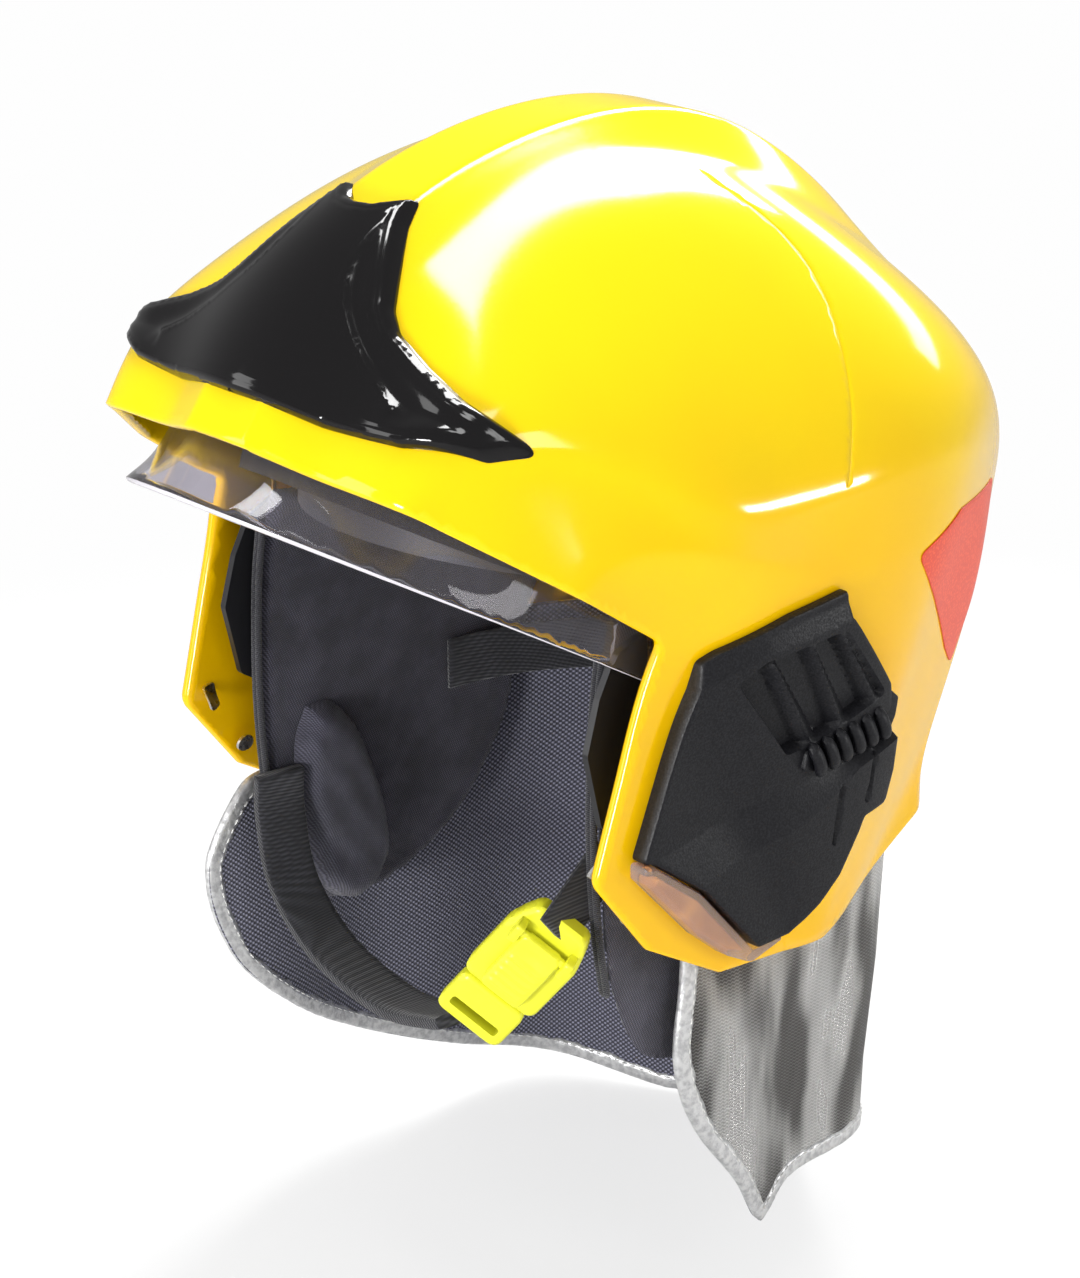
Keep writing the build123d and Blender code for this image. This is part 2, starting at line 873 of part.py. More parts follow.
with BuildPart() as buckle_body:
    with BuildSketch(buckle_plane.offset(-body_top)):
        RectangleRounded(body_size[0], body_size[1], body_round)
    extrude(amount=body_size[2])
    with BuildSketch(buckle_plane.offset(body_top)):
        with Locations((lever_pin_at, lug_across / 2), (lever_pin_at, -lug_across / 2)):
            Rectangle(*lug_size)
    extrude(amount=lug_top - body_top)
    with BuildSketch(buckle_plane.offset(-pocket_size[2] / 2)):
        with Locations((-body_size[0] / 2 + pocket_size[0] / 2, 0)):
            Rectangle(pocket_size[0], pocket_size[1])
    extrude(amount=pocket_size[2], mode=Mode.SUBTRACT)
    with BuildSketch(pin_line.offset(-lug_across)):
        Circle(lever_pin_radius + lug_gap)
    extrude(amount=lug_across * 2, mode=Mode.SUBTRACT)
buckle_body.part.label = "buckle_body"

with BuildPart() as buckle_lever:
    with BuildSketch(buckle_plane.offset(lever_floor)):
        with Locations(lever_at):
            RectangleRounded(lever_size[0], lever_size[1], lever_round)
    extrude(amount=lever_size[2])
    with BuildSketch(buckle_plane.offset(lever_top)):
        with Locations((lever_at[0] - lever_rib_step * 1.5, lever_at[1])):
            with GridLocations(lever_rib_step, 0, lever_ribs, 1):
                Rectangle(lever_rib[0], lever_rib[1])
    extrude(amount=lever_rib[2])
    with BuildSketch(pin_line.offset(-lug_across / 2 - lug_size[1] / 2)):
        Circle(lever_pin_radius)
    extrude(amount=lug_across + lug_size[1])
buckle_lever.part.label = "buckle_lever"

with BuildPart() as buckle_tongue:
    with BuildSketch(buckle_plane.offset(-tongue_size[2] / 2)):
        with Locations((tongue_at, 0)):
            RectangleRounded(tongue_size[0], tongue_size[1], body_round)
        with Locations((tongue_at + strap_slot_at, 0)):
            Rectangle(*strap_slot, mode=Mode.SUBTRACT)
    extrude(amount=tongue_size[2])
    with BuildSketch(buckle_plane.offset(-pocket_size[2] / 2 + pocket_gap)):
        with Locations((-body_size[0] / 2 + pocket_size[0] / 2 - pocket_gap - tongue_gap, 0)):
            Rectangle(pocket_size[0], pocket_size[1] - 2 * pocket_gap)
    extrude(amount=pocket_size[2] - 2 * pocket_gap)
buckle_tongue.part.label = "buckle_tongue"

with BuildPart() as buckle_space:
    with BuildSketch(buckle_plane.offset(-body_top - seat)):
        Rectangle(body_size[0] + 2 * seat, body_size[1] + 2 * seat)
        with Locations((tongue_at, 0)):
            Rectangle(tongue_size[0] + 2 * seat, tongue_size[1] + 2 * seat)
    extrude(amount=body_size[2] * 2)

with BuildPart() as chin_strap_right:
    add(strap_band.part)
    add(buckle_space.part, mode=Mode.SUBTRACT)
chin_strap_right.part.label = "chin_strap_right"

short_strap_line = [(-88, -106), (-54, -78)]
short_strap_width = 18
short_strap_wall = 1.8
short_strap_outline = side_sketch(
    between(*short_strap_line, short_strap_width),
    cover_corner,
    panel_inner - ear_gap - short_strap_wall,
)
with BuildPart() as chin_strap_left:
    extrude(short_strap_outline, amount=short_strap_wall)
    add(buckle_space.part, mode=Mode.SUBTRACT)
    add(ear_pad_left.part, mode=Mode.SUBTRACT)
chin_strap_left.part.label = "chin_strap_left"

# Neck curtain: two cloth layers in a hem, hung inside the lower edge
curtain_levels = [
    (-97, 90.5, 110.5, 0),
    (-130, 89.5, 108.2, 1),
    (-165, 89.5, 99, 3),
    (-200, 89, 88, 4),
    (-290, 89, 86, 2),
]
curtain_turn_y = 12
curtain_front = -105
rear_share = 0.52
curtain_steps = 16
fold_count = 3
cloth_wall = 1.1
cloth_gap = 0.15
hem_wall = 0.6
hem_width = 7
hem_gap = 0.12
curtain_top = -80
left_edge = [
    (-44, -80),
    (-44, -132),
    (-46, -160),
    (-38, -186),
    (-20, -212),
    (-9, -230),
    (-4, -231),
    (14, -224),
    (60, -227),
    (72, -238),
    (82, -256),
    (90, -266),
    (150, -266),
    (150, -80),
]
right_edge = [
    (-48, -80),
    (-56, -107),
    (-74, -113),
    (-88, -131),
    (-90, -146),
    (-85, -165),
    (-75, -183),
    (-50, -206),
    (-20, -226),
    (12, -241),
    (40, -252),
    (62, -259),
    (80, -266),
    (150, -266),
    (150, -80),
]


def curtain_line(level, grow):
    """Points of the curtain seen from above, from the right edge to the left."""
    height, half, rear, fold = level
    points = []
    for step in range(curtain_steps + 1):
        share = step / curtain_steps * 2 - 1
        side = 1 if share > 0 else -1
        out = grow + fold * cos(share * fold_count * 2 * pi)
        if abs(share) > rear_share:
            run = (abs(share) - rear_share) / (1 - rear_share)
            along_y = curtain_turn_y - run * (curtain_turn_y - curtain_front)
            points.append((side * (half + out), along_y))
        else:
            turn = abs(share) / rear_share * pi / 2
            depth = rear - curtain_turn_y + out
            points.append((side * (half + out) * sin(turn), curtain_turn_y + depth * cos(turn)))
    return points


def curtain_body(outer, inner):
    """A hanging wall between two offsets of the curtain line."""
    with BuildPart() as body:
        for level in curtain_levels:
            outside_line = curtain_line(level, outer)
            inside_line = curtain_line(level, inner)
            with BuildSketch(Plane.XY.offset(level[0])):
                with BuildLine():
                    Spline(*outside_line)
                    Line(outside_line[-1], inside_line[-1])
                    Spline(*inside_line[::-1])
                    Line(inside_line[0], outside_line[0])
                make_face()
        loft()
    return body.part


def curtain_keep(grow):
    """The side outlines of the curtain, one for each half."""
    with BuildPart() as body:
        with BuildSketch(Plane.YZ):
            with BuildLine():
                Polyline(*left_edge, close=True)
            make_face()
            if grow:
                offset(amount=grow, mode=Mode.REPLACE)
        extrude(amount=reach / 2)
        with BuildSketch(Plane.YZ):
            with BuildLine():
                Polyline(*right_edge, close=True)
            make_face()
            if grow:
                offset(amount=grow, mode=Mode.REPLACE)
        extrude(amount=-reach / 2)
    return body.part


lining_out = -cloth_wall - cloth_gap
lining_in = lining_out - cloth_wall
cut_to = curtain_keep(0)
outer_cloth = curtain_body(0, -cloth_wall)
lining_cloth = curtain_body(lining_out, lining_in)
cloth_room = curtain_body(hem_gap, lining_in - hem_gap)
hem_cloth = curtain_body(hem_gap + hem_wall, lining_in - hem_gap - hem_wall)
room_edge = curtain_keep(hem_gap)
hem_edge = curtain_keep(hem_gap + hem_wall)
hem_inner_edge = curtain_keep(-hem_width)

with BuildPart() as curtain_outer:
    add(outer_cloth)
    add(cut_to, mode=Mode.INTERSECT)
curtain_outer.part.label = "curtain_outer"

with BuildPart() as curtain_lining:
    add(lining_cloth)
    add(cut_to, mode=Mode.INTERSECT)
curtain_lining.part.label = "curtain_lining"

with BuildPart() as cloth_space:
    add(cloth_room)
    add(room_edge, mode=Mode.INTERSECT)

with BuildPart() as curtain_hem:
    add(hem_cloth)
    add(hem_edge, mode=Mode.INTERSECT)
    add(hem_inner_edge, mode=Mode.SUBTRACT)
    add(cloth_space.part, mode=Mode.SUBTRACT)
curtain_hem.part.label = "curtain_hem"

# Strip that ties the top of the curtain to the inside of the shell
tie_low = -111
tie_height = 13
tie_front = -40
with BuildPart() as curtain_plug:
    for level in curtain_levels:
        plug_line = curtain_line(level, hem_gap + hem_wall + cloth_gap)
        with BuildSketch(Plane.XY.offset(level[0])):
            with BuildLine():
                Spline(*plug_line)
                Line(plug_line[-1], plug_line[0])
            make_face()
    loft()

with BuildPart() as curtain_tie:
    with Locations((0, tie_front + reach / 2, tie_low + tie_height / 2)):
        Box(reach, reach, tie_height)
    add(wall_form, mode=Mode.INTERSECT)
    add(curtain_plug.part, mode=Mode.SUBTRACT)
curtain_tie.part.label = "curtain_tie"

# Small metal clip and rivet on the inner face of each jaw
clip_at = (-83, -79)
clip_size = (6, 7)
clip_round = 1
rivet_at = (-71, -99)
rivet_radius = 3
clip_wall = 1.1
clip_form = helmet_form(-shell_wall - seat - clip_wall)
with BuildPart() as jaw_clip_left:
    with BuildSketch(Plane.YZ):
        with Locations(clip_at):
            RectangleRounded(*clip_size, clip_round)
    extrude(amount=reach / 2)
    add(wall_form, mode=Mode.INTERSECT)
    add(clip_form, mode=Mode.SUBTRACT)
jaw_clip_left.part.label = "jaw_clip_left"

with BuildPart() as jaw_rivets:
    with BuildSketch(Plane.YZ):
        with Locations(rivet_at):
            Circle(rivet_radius)
    extrude(amount=reach / 2, both=True)
    add(wall_form, mode=Mode.INTERSECT)
    add(clip_form, mode=Mode.SUBTRACT)
jaw_rivets.part.label = "jaw_rivets"

# The right side mirrors the left
lefts = [
    side_cover_left,
    mask_rack_left,
    lamp_lens_left,
    lamp_insert_left,
    sticker_left,
    visor_carrier_left,
    pivot_bolt_left,
    side_liner_left,
    liner_piping_left,
    ear_pad_left,
    jaw_clip_left,
]
middles = [
    outer_shell,
    front_plate,
    face_shield,
    eye_visor,
    carrier_screws,
    impact_liner,
    crown_cap,
    headband,
    brow_pad,
    ratchet_housing,
    ratchet_knob,
    nape_cradle,
    nape_webbing,
    chin_strap_right,
    chin_strap_left,
    buckle_body,
    buckle_lever,
    buckle_tongue,
    curtain_outer,
    curtain_lining,
    curtain_hem,
    curtain_tie,
    jaw_rivets,
]
for piece in middles:
    export_step(piece.part, "parts/" + piece.part.label + ".step")
for piece in lefts:
    export_step(piece.part, "parts/" + piece.part.label + ".step")
    other = piece.part.mirror(Plane.YZ)
    other.label = piece.part.label.replace("left", "right")
    export_step(other, "parts/" + other.label + ".step")
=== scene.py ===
import bpy
import bmesh
import numpy as np
from math import atan2, cos, degrees, hypot, pi, radians, sin
from mathutils import Matrix, Vector
from mathutils.geometry import delaunay_2d_cdt


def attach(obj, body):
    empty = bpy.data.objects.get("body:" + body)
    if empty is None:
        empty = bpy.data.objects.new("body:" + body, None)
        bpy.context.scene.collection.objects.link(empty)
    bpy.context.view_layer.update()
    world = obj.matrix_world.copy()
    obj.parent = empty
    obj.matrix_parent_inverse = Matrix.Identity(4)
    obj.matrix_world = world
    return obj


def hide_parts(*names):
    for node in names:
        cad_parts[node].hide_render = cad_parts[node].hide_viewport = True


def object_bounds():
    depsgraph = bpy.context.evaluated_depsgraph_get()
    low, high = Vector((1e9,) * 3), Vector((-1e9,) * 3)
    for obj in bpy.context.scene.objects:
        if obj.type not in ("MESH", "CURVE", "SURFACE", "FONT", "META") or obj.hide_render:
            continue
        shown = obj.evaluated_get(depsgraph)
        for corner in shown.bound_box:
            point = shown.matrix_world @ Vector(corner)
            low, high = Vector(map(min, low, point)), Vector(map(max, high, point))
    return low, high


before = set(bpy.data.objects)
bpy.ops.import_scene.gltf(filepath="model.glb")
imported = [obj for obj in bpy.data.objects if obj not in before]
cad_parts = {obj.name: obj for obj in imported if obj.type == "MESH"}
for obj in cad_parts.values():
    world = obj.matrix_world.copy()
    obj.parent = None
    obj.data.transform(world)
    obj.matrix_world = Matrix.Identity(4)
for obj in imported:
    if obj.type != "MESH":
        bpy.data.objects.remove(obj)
cadBox = [list(corner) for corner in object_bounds()]
mm = 0.001

# Shared shapes
formAxis = -150  # height of the line that the shell's sections turn about
shellRows = [  # angle, crown, crest, drop, foot, fall, belt, beltAt, low, lowAt
    (30, 240, 13, 1, 24, 7, 66, 200, 98, 150),
    (42, 246, 13, 1, 27, 8, 68, 216, 99, 165),
    (53, 252, 13, 1, 29, 9, 72, 228, 101, 184),
    (62, 267, 13, 1, 30, 10, 86, 227, 104, 194),
    (71, 275, 13, 1, 30, 10, 109, 197, 113, 178),
    (80, 277, 13, 1, 29, 9, 115, 182, 117, 160),
    (90, 276, 13, 1, 31, 12, 118, 178, 118, 150),
    (100, 270, 14, 1, 35, 17, 117, 181, 117, 152),
    (108, 260, 14, 1, 37, 17, 111, 184, 112, 158),
    (116, 248, 14, 1, 37, 13, 99, 187, 102, 163),
    (125, 232, 14, 1, 36, 7, 82, 190, 90, 162),
    (135, 206, 14, 1, 34, 4, 66, 176, 80, 142),
    (146, 164, 14, 1, 32, 3, 54, 138, 78, 102),
    (158, 138, 14, 1, 30, 3, 56, 116, 82, 82),
    (170, 122, 14, 1, 30, 3, 60, 100, 86, 68),
]
visorRows = [  # angle, crown, shoulder
    (42, 252, 148),
    (47.5, 252.5, 158),
    (53, 245.3, 160),
    (62, 258.5, 166),
    (71, 267, 166),
    (80, 269, 162),
    (90, 267, 158),
    (102, 255, 160),
]


# Rows at any angle, on one smooth curve through the given ones
def smoothRows(rows, angles):
    table = np.array(rows, float)
    keys, values = table[:, 0], table[:, 1:]
    count = len(keys)
    step = np.diff(keys)
    left = np.eye(count)
    right = np.zeros_like(values)
    for i in range(1, count - 1):
        left[i, i - 1:i + 2] = (step[i - 1], 2 * (step[i - 1] + step[i]), step[i])
        right[i] = 6 * ((values[i + 1] - values[i]) / step[i] - (values[i] - values[i - 1]) / step[i - 1])
    bend = np.linalg.solve(left, right)
    angles = np.clip(angles, keys[0], keys[-1])
    at = np.clip(np.searchsorted(keys, angles) - 1, 0, count - 2)
    h = step[at][:, None]
    u = (keys[at + 1] - angles)[:, None]
    w = (angles - keys[at])[:, None]
    return (
        (bend[at] * u ** 3 + bend[at + 1] * w ** 3) / (6 * h)
        + (values[at] / h - bend[at] * h / 6) * u
        + (values[at + 1] / h - bend[at + 1] * h / 6) * w
    )


# Points of the arc that leaves and arrives on given slopes
def softCurve(start, end, startSlope, endSlope, pull, count):
    start, end = np.array(start, float), np.array(end, float)
    reach = np.hypot(*(end - start)) * pull
    leave = np.array((cos(radians(startSlope)), sin(radians(startSlope)))) * reach
    arrive = np.array((cos(radians(endSlope)), sin(radians(endSlope)))) * reach
    t = np.linspace(0, 1, count + 1)[:, None]
    return (
        (2 * t ** 3 - 3 * t ** 2 + 1) * start
        + (t ** 3 - 2 * t ** 2 + t) * leave
        + (3 * t ** 2 - 2 * t ** 3) * end
        + (t ** 3 - t ** 2) * arrive
    )


def straight(start, end, count):
    t = np.linspace(0, 1, count + 1)[:, None]
    return np.array(start, float) * (1 - t) + np.array(end, float) * t


# The section with each named corner rounded; it mirrors at its start
def softened(points, spread, corners):
    around = int(max(spread) * 4) + 2
    mirrored = points[1:around + 1][::-1] * (-1, 1)
    beyond = points[-1] + (points[-1] - points[-2]) * np.arange(1, around + 1)[:, None]
    padded = np.vstack([mirrored, points, beyond])
    result = points.copy()
    index = np.arange(len(points))
    for corner, width in zip(corners, spread):
        if not width:
            continue
        offsets = np.arange(-around, around + 1)
        kernel = np.exp(-0.5 * (offsets / width) ** 2)
        kernel /= kernel.sum()
        blurred = np.stack([np.convolve(padded[:, k], kernel, "valid") for k in (0, 1)], 1)
        share = np.clip(2.2 - np.abs(index - corner) / (2.2 * width), 0, 1)[:, None]
        result += (blurred - points) * share
    return result


sectionCounts = (9, 13, 52, 20, 60)  # crest, crest slope, dome, belt, side
sectionStarts = np.concatenate([[0], np.cumsum(sectionCounts)])
cornerSpread = (0.9, 2.4, 2.0, 1.6)  # crest edge, crest foot, belt, lower crease


def shellSection(row):
    crown, crest, drop, foot, fall, belt, beltAt, low, lowAt = row
    edge, footAt = crown - drop, crown - fall
    parts = [
        straight((0, edge), (crest, edge), sectionCounts[0]),
        straight((crest, edge), (foot, footAt), sectionCounts[1])[1:],
        softCurve((foot, footAt), (belt, beltAt), -20, -76, 1.1, sectionCounts[2])[1:],
        straight((belt, beltAt), (low, lowAt), sectionCounts[3])[1:],
        straight((low, lowAt), (100, lowAt * 0.08), sectionCounts[4])[1:],
    ]
    return softened(np.vstack(parts), cornerSpread, sectionStarts[1:5])


visorHalf = 93.5
visorCounts = (30, 60)


def visorSection(row):
    crown, shoulder = row
    side = straight((visorHalf, 20), (visorHalf, shoulder), visorCounts[0])
    top = softCurve((visorHalf, shoulder), (0, crown), 90, 180, 0.86, visorCounts[1])[1:]
    return np.vstack([side, top])[::-1]


def cubicWeights(t):
    return (
        -0.5 * t ** 3 + t ** 2 - 0.5 * t,
        1.5 * t ** 3 - 2.5 * t ** 2 + 1,
        -1.5 * t ** 3 + 2 * t ** 2 + 0.5 * t,
        0.5 * t ** 3 - 0.5 * t ** 2,
    )


# Half of a symmetric form: its sections stand on rays from one axis
class turnedForm:
    def __init__(self, rows, section, first, last, step=0.5):
        self.first, self.step = first, step
        self.angles = np.arange(first, last + step / 2, step)
        table = [section(row) for row in smoothRows(rows, self.angles)]
        self.x = np.array([points[:, 0] for points in table])
        self.r = np.array([points[:, 1] for points in table])
        self.count = self.x.shape[1]
        self.radii = np.arange(20, 290, 1.0)
        self.wide = np.array([np.interp(self.radii, r[::-1], x[::-1]) for x, r in zip(self.x, self.r)])

    def looked(self, table, i, j):
        i = np.clip(i, 0, table.shape[0] - 1.001)
        j = np.clip(j, 0, table.shape[1] - 1.001)
        i0, j0 = np.floor(i).astype(int), np.floor(j).astype(int)
        total = 0
        for a, wa in zip((-1, 0, 1, 2), cubicWeights(i - i0)):
            ia = np.clip(i0 + a, 0, table.shape[0] - 1)
            for b, wb in zip((-1, 0, 1, 2), cubicWeights(j - j0)):
                jb = np.clip(j0 + b, 0, table.shape[1] - 1)
                total = total + wa * wb * table[ia, jb]
        return total

    # The point on the form for an angle and a place along its section
    def at(self, angle, place):
        angle, place = np.asarray(angle, float), np.asarray(place, float)
        i = (angle - self.first) / self.step
        x, r = self.looked(self.x, i, place), self.looked(self.r, i, place)
        turn = np.radians(angle)
        return np.stack([x, -r * np.cos(turn), formAxis + r * np.sin(turn)], -1)

    # How wide the form is at a place seen from the side
    def side(self, y, z):
        y, z = np.asarray(y, float), np.asarray(z, float)
        angle = np.degrees(np.arctan2(z - formAxis, -y))
        radius = np.hypot(y, z - formAxis)
        return self.looked(self.wide, (angle - self.first) / self.step, radius - self.radii[0])

    # Angle and place along the section for a point seen from the side
    def place(self, y, z):
        angle = degrees(atan2(z - formAxis, -y))
        i = (angle - self.first) / self.step
        i0 = int(np.clip(i, 0, len(self.angles) - 2))
        share = np.clip(i - i0, 0, 1)
        r = self.r[i0] * (1 - share) + self.r[i0 + 1] * share
        return angle, float(np.interp(-hypot(y, z - formAxis), -r, np.arange(self.count)))


shellForm = turnedForm(shellRows, shellSection, 30, 170)
visorForm = turnedForm(visorRows, visorSection, 42, 102)
print("forms ready")


# A mesh piece in millimetres that rides on a body
def newPiece(name, points, faces, body="helmet", smooth=True, slot=None):
    mesh = bpy.data.meshes.new(name)
    mesh.from_pydata([tuple(p) for p in np.asarray(points) * mm], [], [tuple(f) for f in faces])
    mesh.validate()
    mesh.update()
    piece = bpy.data.objects.new(name, mesh)
    bpy.context.scene.collection.objects.link(piece)
    for face in mesh.polygons:
        face.use_smooth = smooth
    if body:
        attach(piece, body)
    return piece


# Which points lie inside a closed outline
def insideOutline(outline, points):
    outline, points = np.asarray(outline, float), np.asarray(points, float)
    u, v = points[:, 0], points[:, 1]
    inside = np.zeros(len(points), bool)
    for (u0, v0), (u1, v1) in zip(outline, np.roll(outline, -1, 0)):
        crosses = (v0 > v) != (v1 > v)
        if v0 != v1:
            inside ^= crosses & (u < (u1 - u0) * (v - v0) / (v1 - v0) + u0)
    return inside


# Distance from each point to a line, with where along it the foot lies
def distanceTo(line, points, closed=True):
    line, points = np.asarray(line, float), np.asarray(points, float)
    ends = np.roll(line, -1, 0) if closed else line[1:]
    starts = line if closed else line[:-1]
    best = np.full(len(points), 1e9)
    for start, end in zip(starts, ends):
        run = end - start
        t = np.clip(((points - start) @ run) / max(run @ run, 1e-12), 0, 1)
        best = np.minimum(best, np.hypot(*(points - start - t[:, None] * run).T))
    return best


# A closed outline with rounded corners, in short even steps
def roundedOutline(points, radius, step=1.0):
    points = [np.array(p, float) for p in points]
    radii = radius if hasattr(radius, "__len__") else [radius] * len(points)
    drawn = []
    for i, corner in enumerate(points):
        before, after = points[i - 1], points[(i + 1) % len(points)]
        inward, outward = before - corner, after - corner
        la, lb = np.hypot(*inward), np.hypot(*outward)
        inward, outward = inward / la, outward / lb
        half = np.arccos(np.clip(inward @ outward, -1, 1)) / 2
        cut = min(radii[i] / max(np.tan(half), 1e-3), la * 0.45, lb * 0.45)
        if cut < 0.05:
            drawn.append(corner)
            continue
        start, end = corner + inward * cut, corner + outward * cut
        count = max(2, int(cut * 2 / step))
        for t in np.linspace(0, 1, count + 1):
            drawn.append((1 - t) ** 2 * start + 2 * t * (1 - t) * corner + t ** 2 * end)
    return evenSteps(np.array(drawn), step)


# The same line with no step longer than asked
def evenSteps(points, step, closed=True):
    result = []
    ends = np.roll(points, -1, 0) if closed else points[1:]
    for start, end in zip(points, ends):
        gap = np.hypot(*(end - start))
        if gap < 1e-6:
            continue
        for t in np.arange(max(1, round(gap / step))) / max(1, round(gap / step)):
            result.append(start + (end - start) * t)
    if not closed:
        result.append(points[-1])
    return np.array(result)


# Triangles that fill an outline with an even grid inside it
def filledOutline(outline, step, holes=(), lines=(), scale=(1, 1)):
    scale = np.array(scale, float)
    outline = np.asarray(outline, float) * scale
    loops = [outline] + [np.asarray(h, float) * scale for h in holes]
    tracks = [np.asarray(t, float) * scale for t in lines]
    low, high = outline.min(0), outline.max(0)
    grid = np.stack(np.meshgrid(np.arange(low[0], high[0], step), np.arange(low[1], high[1], step)),
                    -1).reshape(-1, 2)
    keep = insideOutline(outline, grid) & (distanceTo(outline, grid) > step * 0.45)
    for hole in loops[1:]:
        keep &= ~insideOutline(hole, grid) & (distanceTo(hole, grid) > step * 0.45)
    for track in tracks:
        keep &= distanceTo(track, grid, False) > step * 0.35
    points, edges = [], []
    for loop in loops:
        base = len(points)
        points += list(loop)
        edges += [(base + i, base + (i + 1) % len(loop)) for i in range(len(loop))]
    for track in tracks:
        base = len(points)
        points += list(track)
        edges += [(base + i, base + i + 1) for i in range(len(track) - 1)]
    points += list(grid[keep])
    found = delaunay_2d_cdt([Vector(p) for p in points], edges, [], 0, 1e-5)
    flat = np.array([tuple(p) for p in found[0]])
    faces = np.array([tuple(f) for f in found[2]])
    middles = flat[faces].mean(1)
    keep = insideOutline(outline, middles)
    for hole in loops[1:]:
        keep &= ~insideOutline(hole, middles)
    faces = faces[keep]
    turn = np.cross(flat[faces[:, 1]] - flat[faces[:, 0]], flat[faces[:, 2]] - flat[faces[:, 0]])
    faces[turn < 0] = faces[turn < 0][:, ::-1]
    used = np.unique(faces)
    renumber = np.full(len(flat), -1)
    renumber[used] = np.arange(len(used))
    return flat[used] / scale, renumber[faces]


# The open borders of a set of triangles, as ordered loops
def rimLoops(faces):
    faces = np.asarray(faces)
    sides = {}
    for a, b, c in faces:
        for edge in ((a, b), (b, c), (c, a)):
            sides[edge] = True
    following = {a: b for a, b in sides if (b, a) not in sides}
    loops = []
    while following:
        start, current = next(iter(following.items()))
        del following[start]
        loop = [start]
        while current != start and current in following:
            loop.append(current)
            current = following.pop(current)
        loops.append(loop)
    return loops


def pointNormals(points, faces):
    corners = points[faces]
    flat = np.cross(corners[:, 1] - corners[:, 0], corners[:, 2] - corners[:, 0])
    normals = np.zeros_like(points)
    for k in range(3):
        np.add.at(normals, faces[:, k], flat)
    return normals / np.maximum(np.linalg.norm(normals, axis=1), 1e-12)[:, None]


# Gives a surface its thickness, with a rounded rim round each border
def walled(points, faces, depth, bulge=0.5, rounds=3, normals=None):
    points, faces = np.asarray(points, float), np.asarray(faces)
    if normals is None:
        normals = pointNormals(points, faces)
    depth = np.broadcast_to(np.asarray(depth, float), (len(points),))
    under = points - normals * depth[:, None]
    count = len(points)
    allPoints = [points, under]
    allFaces = [tuple(f) for f in faces] + [tuple(count + i for i in f[::-1]) for f in faces]
    total = 2 * count
    for loop in rimLoops(faces):
        loop = np.array(loop)
        along = np.roll(points[loop], -1, 0) - np.roll(points[loop], 1, 0)
        along /= np.maximum(np.linalg.norm(along, axis=1), 1e-9)[:, None]
        out = np.cross(along, normals[loop])
        rows = [loop]
        for k in range(1, rounds + 1):
            t = k / (rounds + 1)
            share = sin(pi * t) ** 0.6
            row = points[loop] * (1 - t) + under[loop] * t + out * bulge * share
            allPoints.append(row)
            rows.append(np.arange(total, total + len(loop)))
            total += len(loop)
        rows.append(loop + count)
        for upper, lower in zip(rows[:-1], rows[1:]):
            for i in range(len(loop)):
                j = (i + 1) % len(loop)
                allFaces.append((upper[j], upper[i], lower[i], lower[j]))
    return np.vstack(allPoints), allFaces


# Several sets of points and faces as one
def joined(*sets):
    points, faces, base = [], [], 0
    for these, those in sets:
        points.append(np.asarray(these, float))
        faces += [tuple(base + i for i in f) for f in those]
        base += len(these)
    return np.vstack(points), faces


# Triangles that look along an axis, or against it where the sign is -1
def towards(points, faces, axis, sign=1):
    return faces if np.mean(pointNormals(points, faces)[:, axis]) * sign > 0 else faces[:, ::-1]


# Faces of a bar made of rings of points, with both ends closed
def barFaces(rings, around):
    faces = []
    for i in range(rings - 1):
        here, there = i * around, (i + 1) * around
        faces += [(here + j, here + (j + 1) % around, there + (j + 1) % around,
                   there + j) for j in range(around)]
    last = (rings - 1) * around
    return faces + [tuple(range(around))[::-1], tuple(last + j for j in range(around))]


# Faces of a bar made of lines of points that run along it, with both ends closed
def linedFaces(lines, count):
    faces = []
    for k in range(lines):
        upper, lower = k * count, (k + 1) % lines * count
        faces += [(upper + i, upper + i + 1, lower + i + 1, lower + i) for i in range(count - 1)]
    starts = tuple(k * count for k in range(lines))
    return faces + [starts, tuple(start + count - 1 for start in starts)[::-1]]


# Narrows a range until it ends where a test stops being true
def edgeOf(test, near, far, rounds):
    for _ in range(rounds):
        middle = (near + far) / 2
        passed = test(middle)
        near, far = np.where(passed, middle, near), np.where(passed, far, middle)
    return near


# The mirrored copy of a set, still facing outwards
def otherSide(points, faces):
    return np.asarray(points, float) * (-1, 1, 1), [tuple(f)[::-1] for f in faces]


# Merges points that lie together, such as along the middle line
def closeDoubles(piece, gap=0.02):
    work = bmesh.new()
    work.from_mesh(piece.data)
    bmesh.ops.remove_doubles(work, verts=work.verts, dist=gap * mm)
    bmesh.ops.recalc_face_normals(work, faces=work.faces)
    work.to_mesh(piece.data)
    work.free()
    piece.data.update()
    return piece


# Turns a closed mesh's faces outwards
def outwardFaces(piece):
    work = bmesh.new()
    work.from_mesh(piece.data)
    bmesh.ops.recalc_face_normals(work, faces=work.faces)
    work.to_mesh(piece.data)
    work.free()
    return piece


# The last steps of a piece: merge, shade, cover, and stand in for its node
def settled(piece, made, node, gap=0, sharp=0, soft=0):
    if gap:
        closeDoubles(piece, gap)
    if sharp:
        piece.data.set_sharp_from_angle(angle=radians(sharp))
    made.on(piece)
    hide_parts(node)
    return piece


# The left piece of a pair and its mirrored copy
def settledPair(name, mesh, slotName, made, node, **steps):
    for side, sideMesh in (("left", mesh), ("right", otherSide(*mesh))):
        piece = newPiece(name + "_" + side, *sideMesh, slot=slotName)
        settled(piece, made, node + "_" + side, **steps)


def smoothStep(value, low, high):
    t = np.clip((value - low) / (high - low), 0, 1)
    return t * t * (3 - 2 * t)


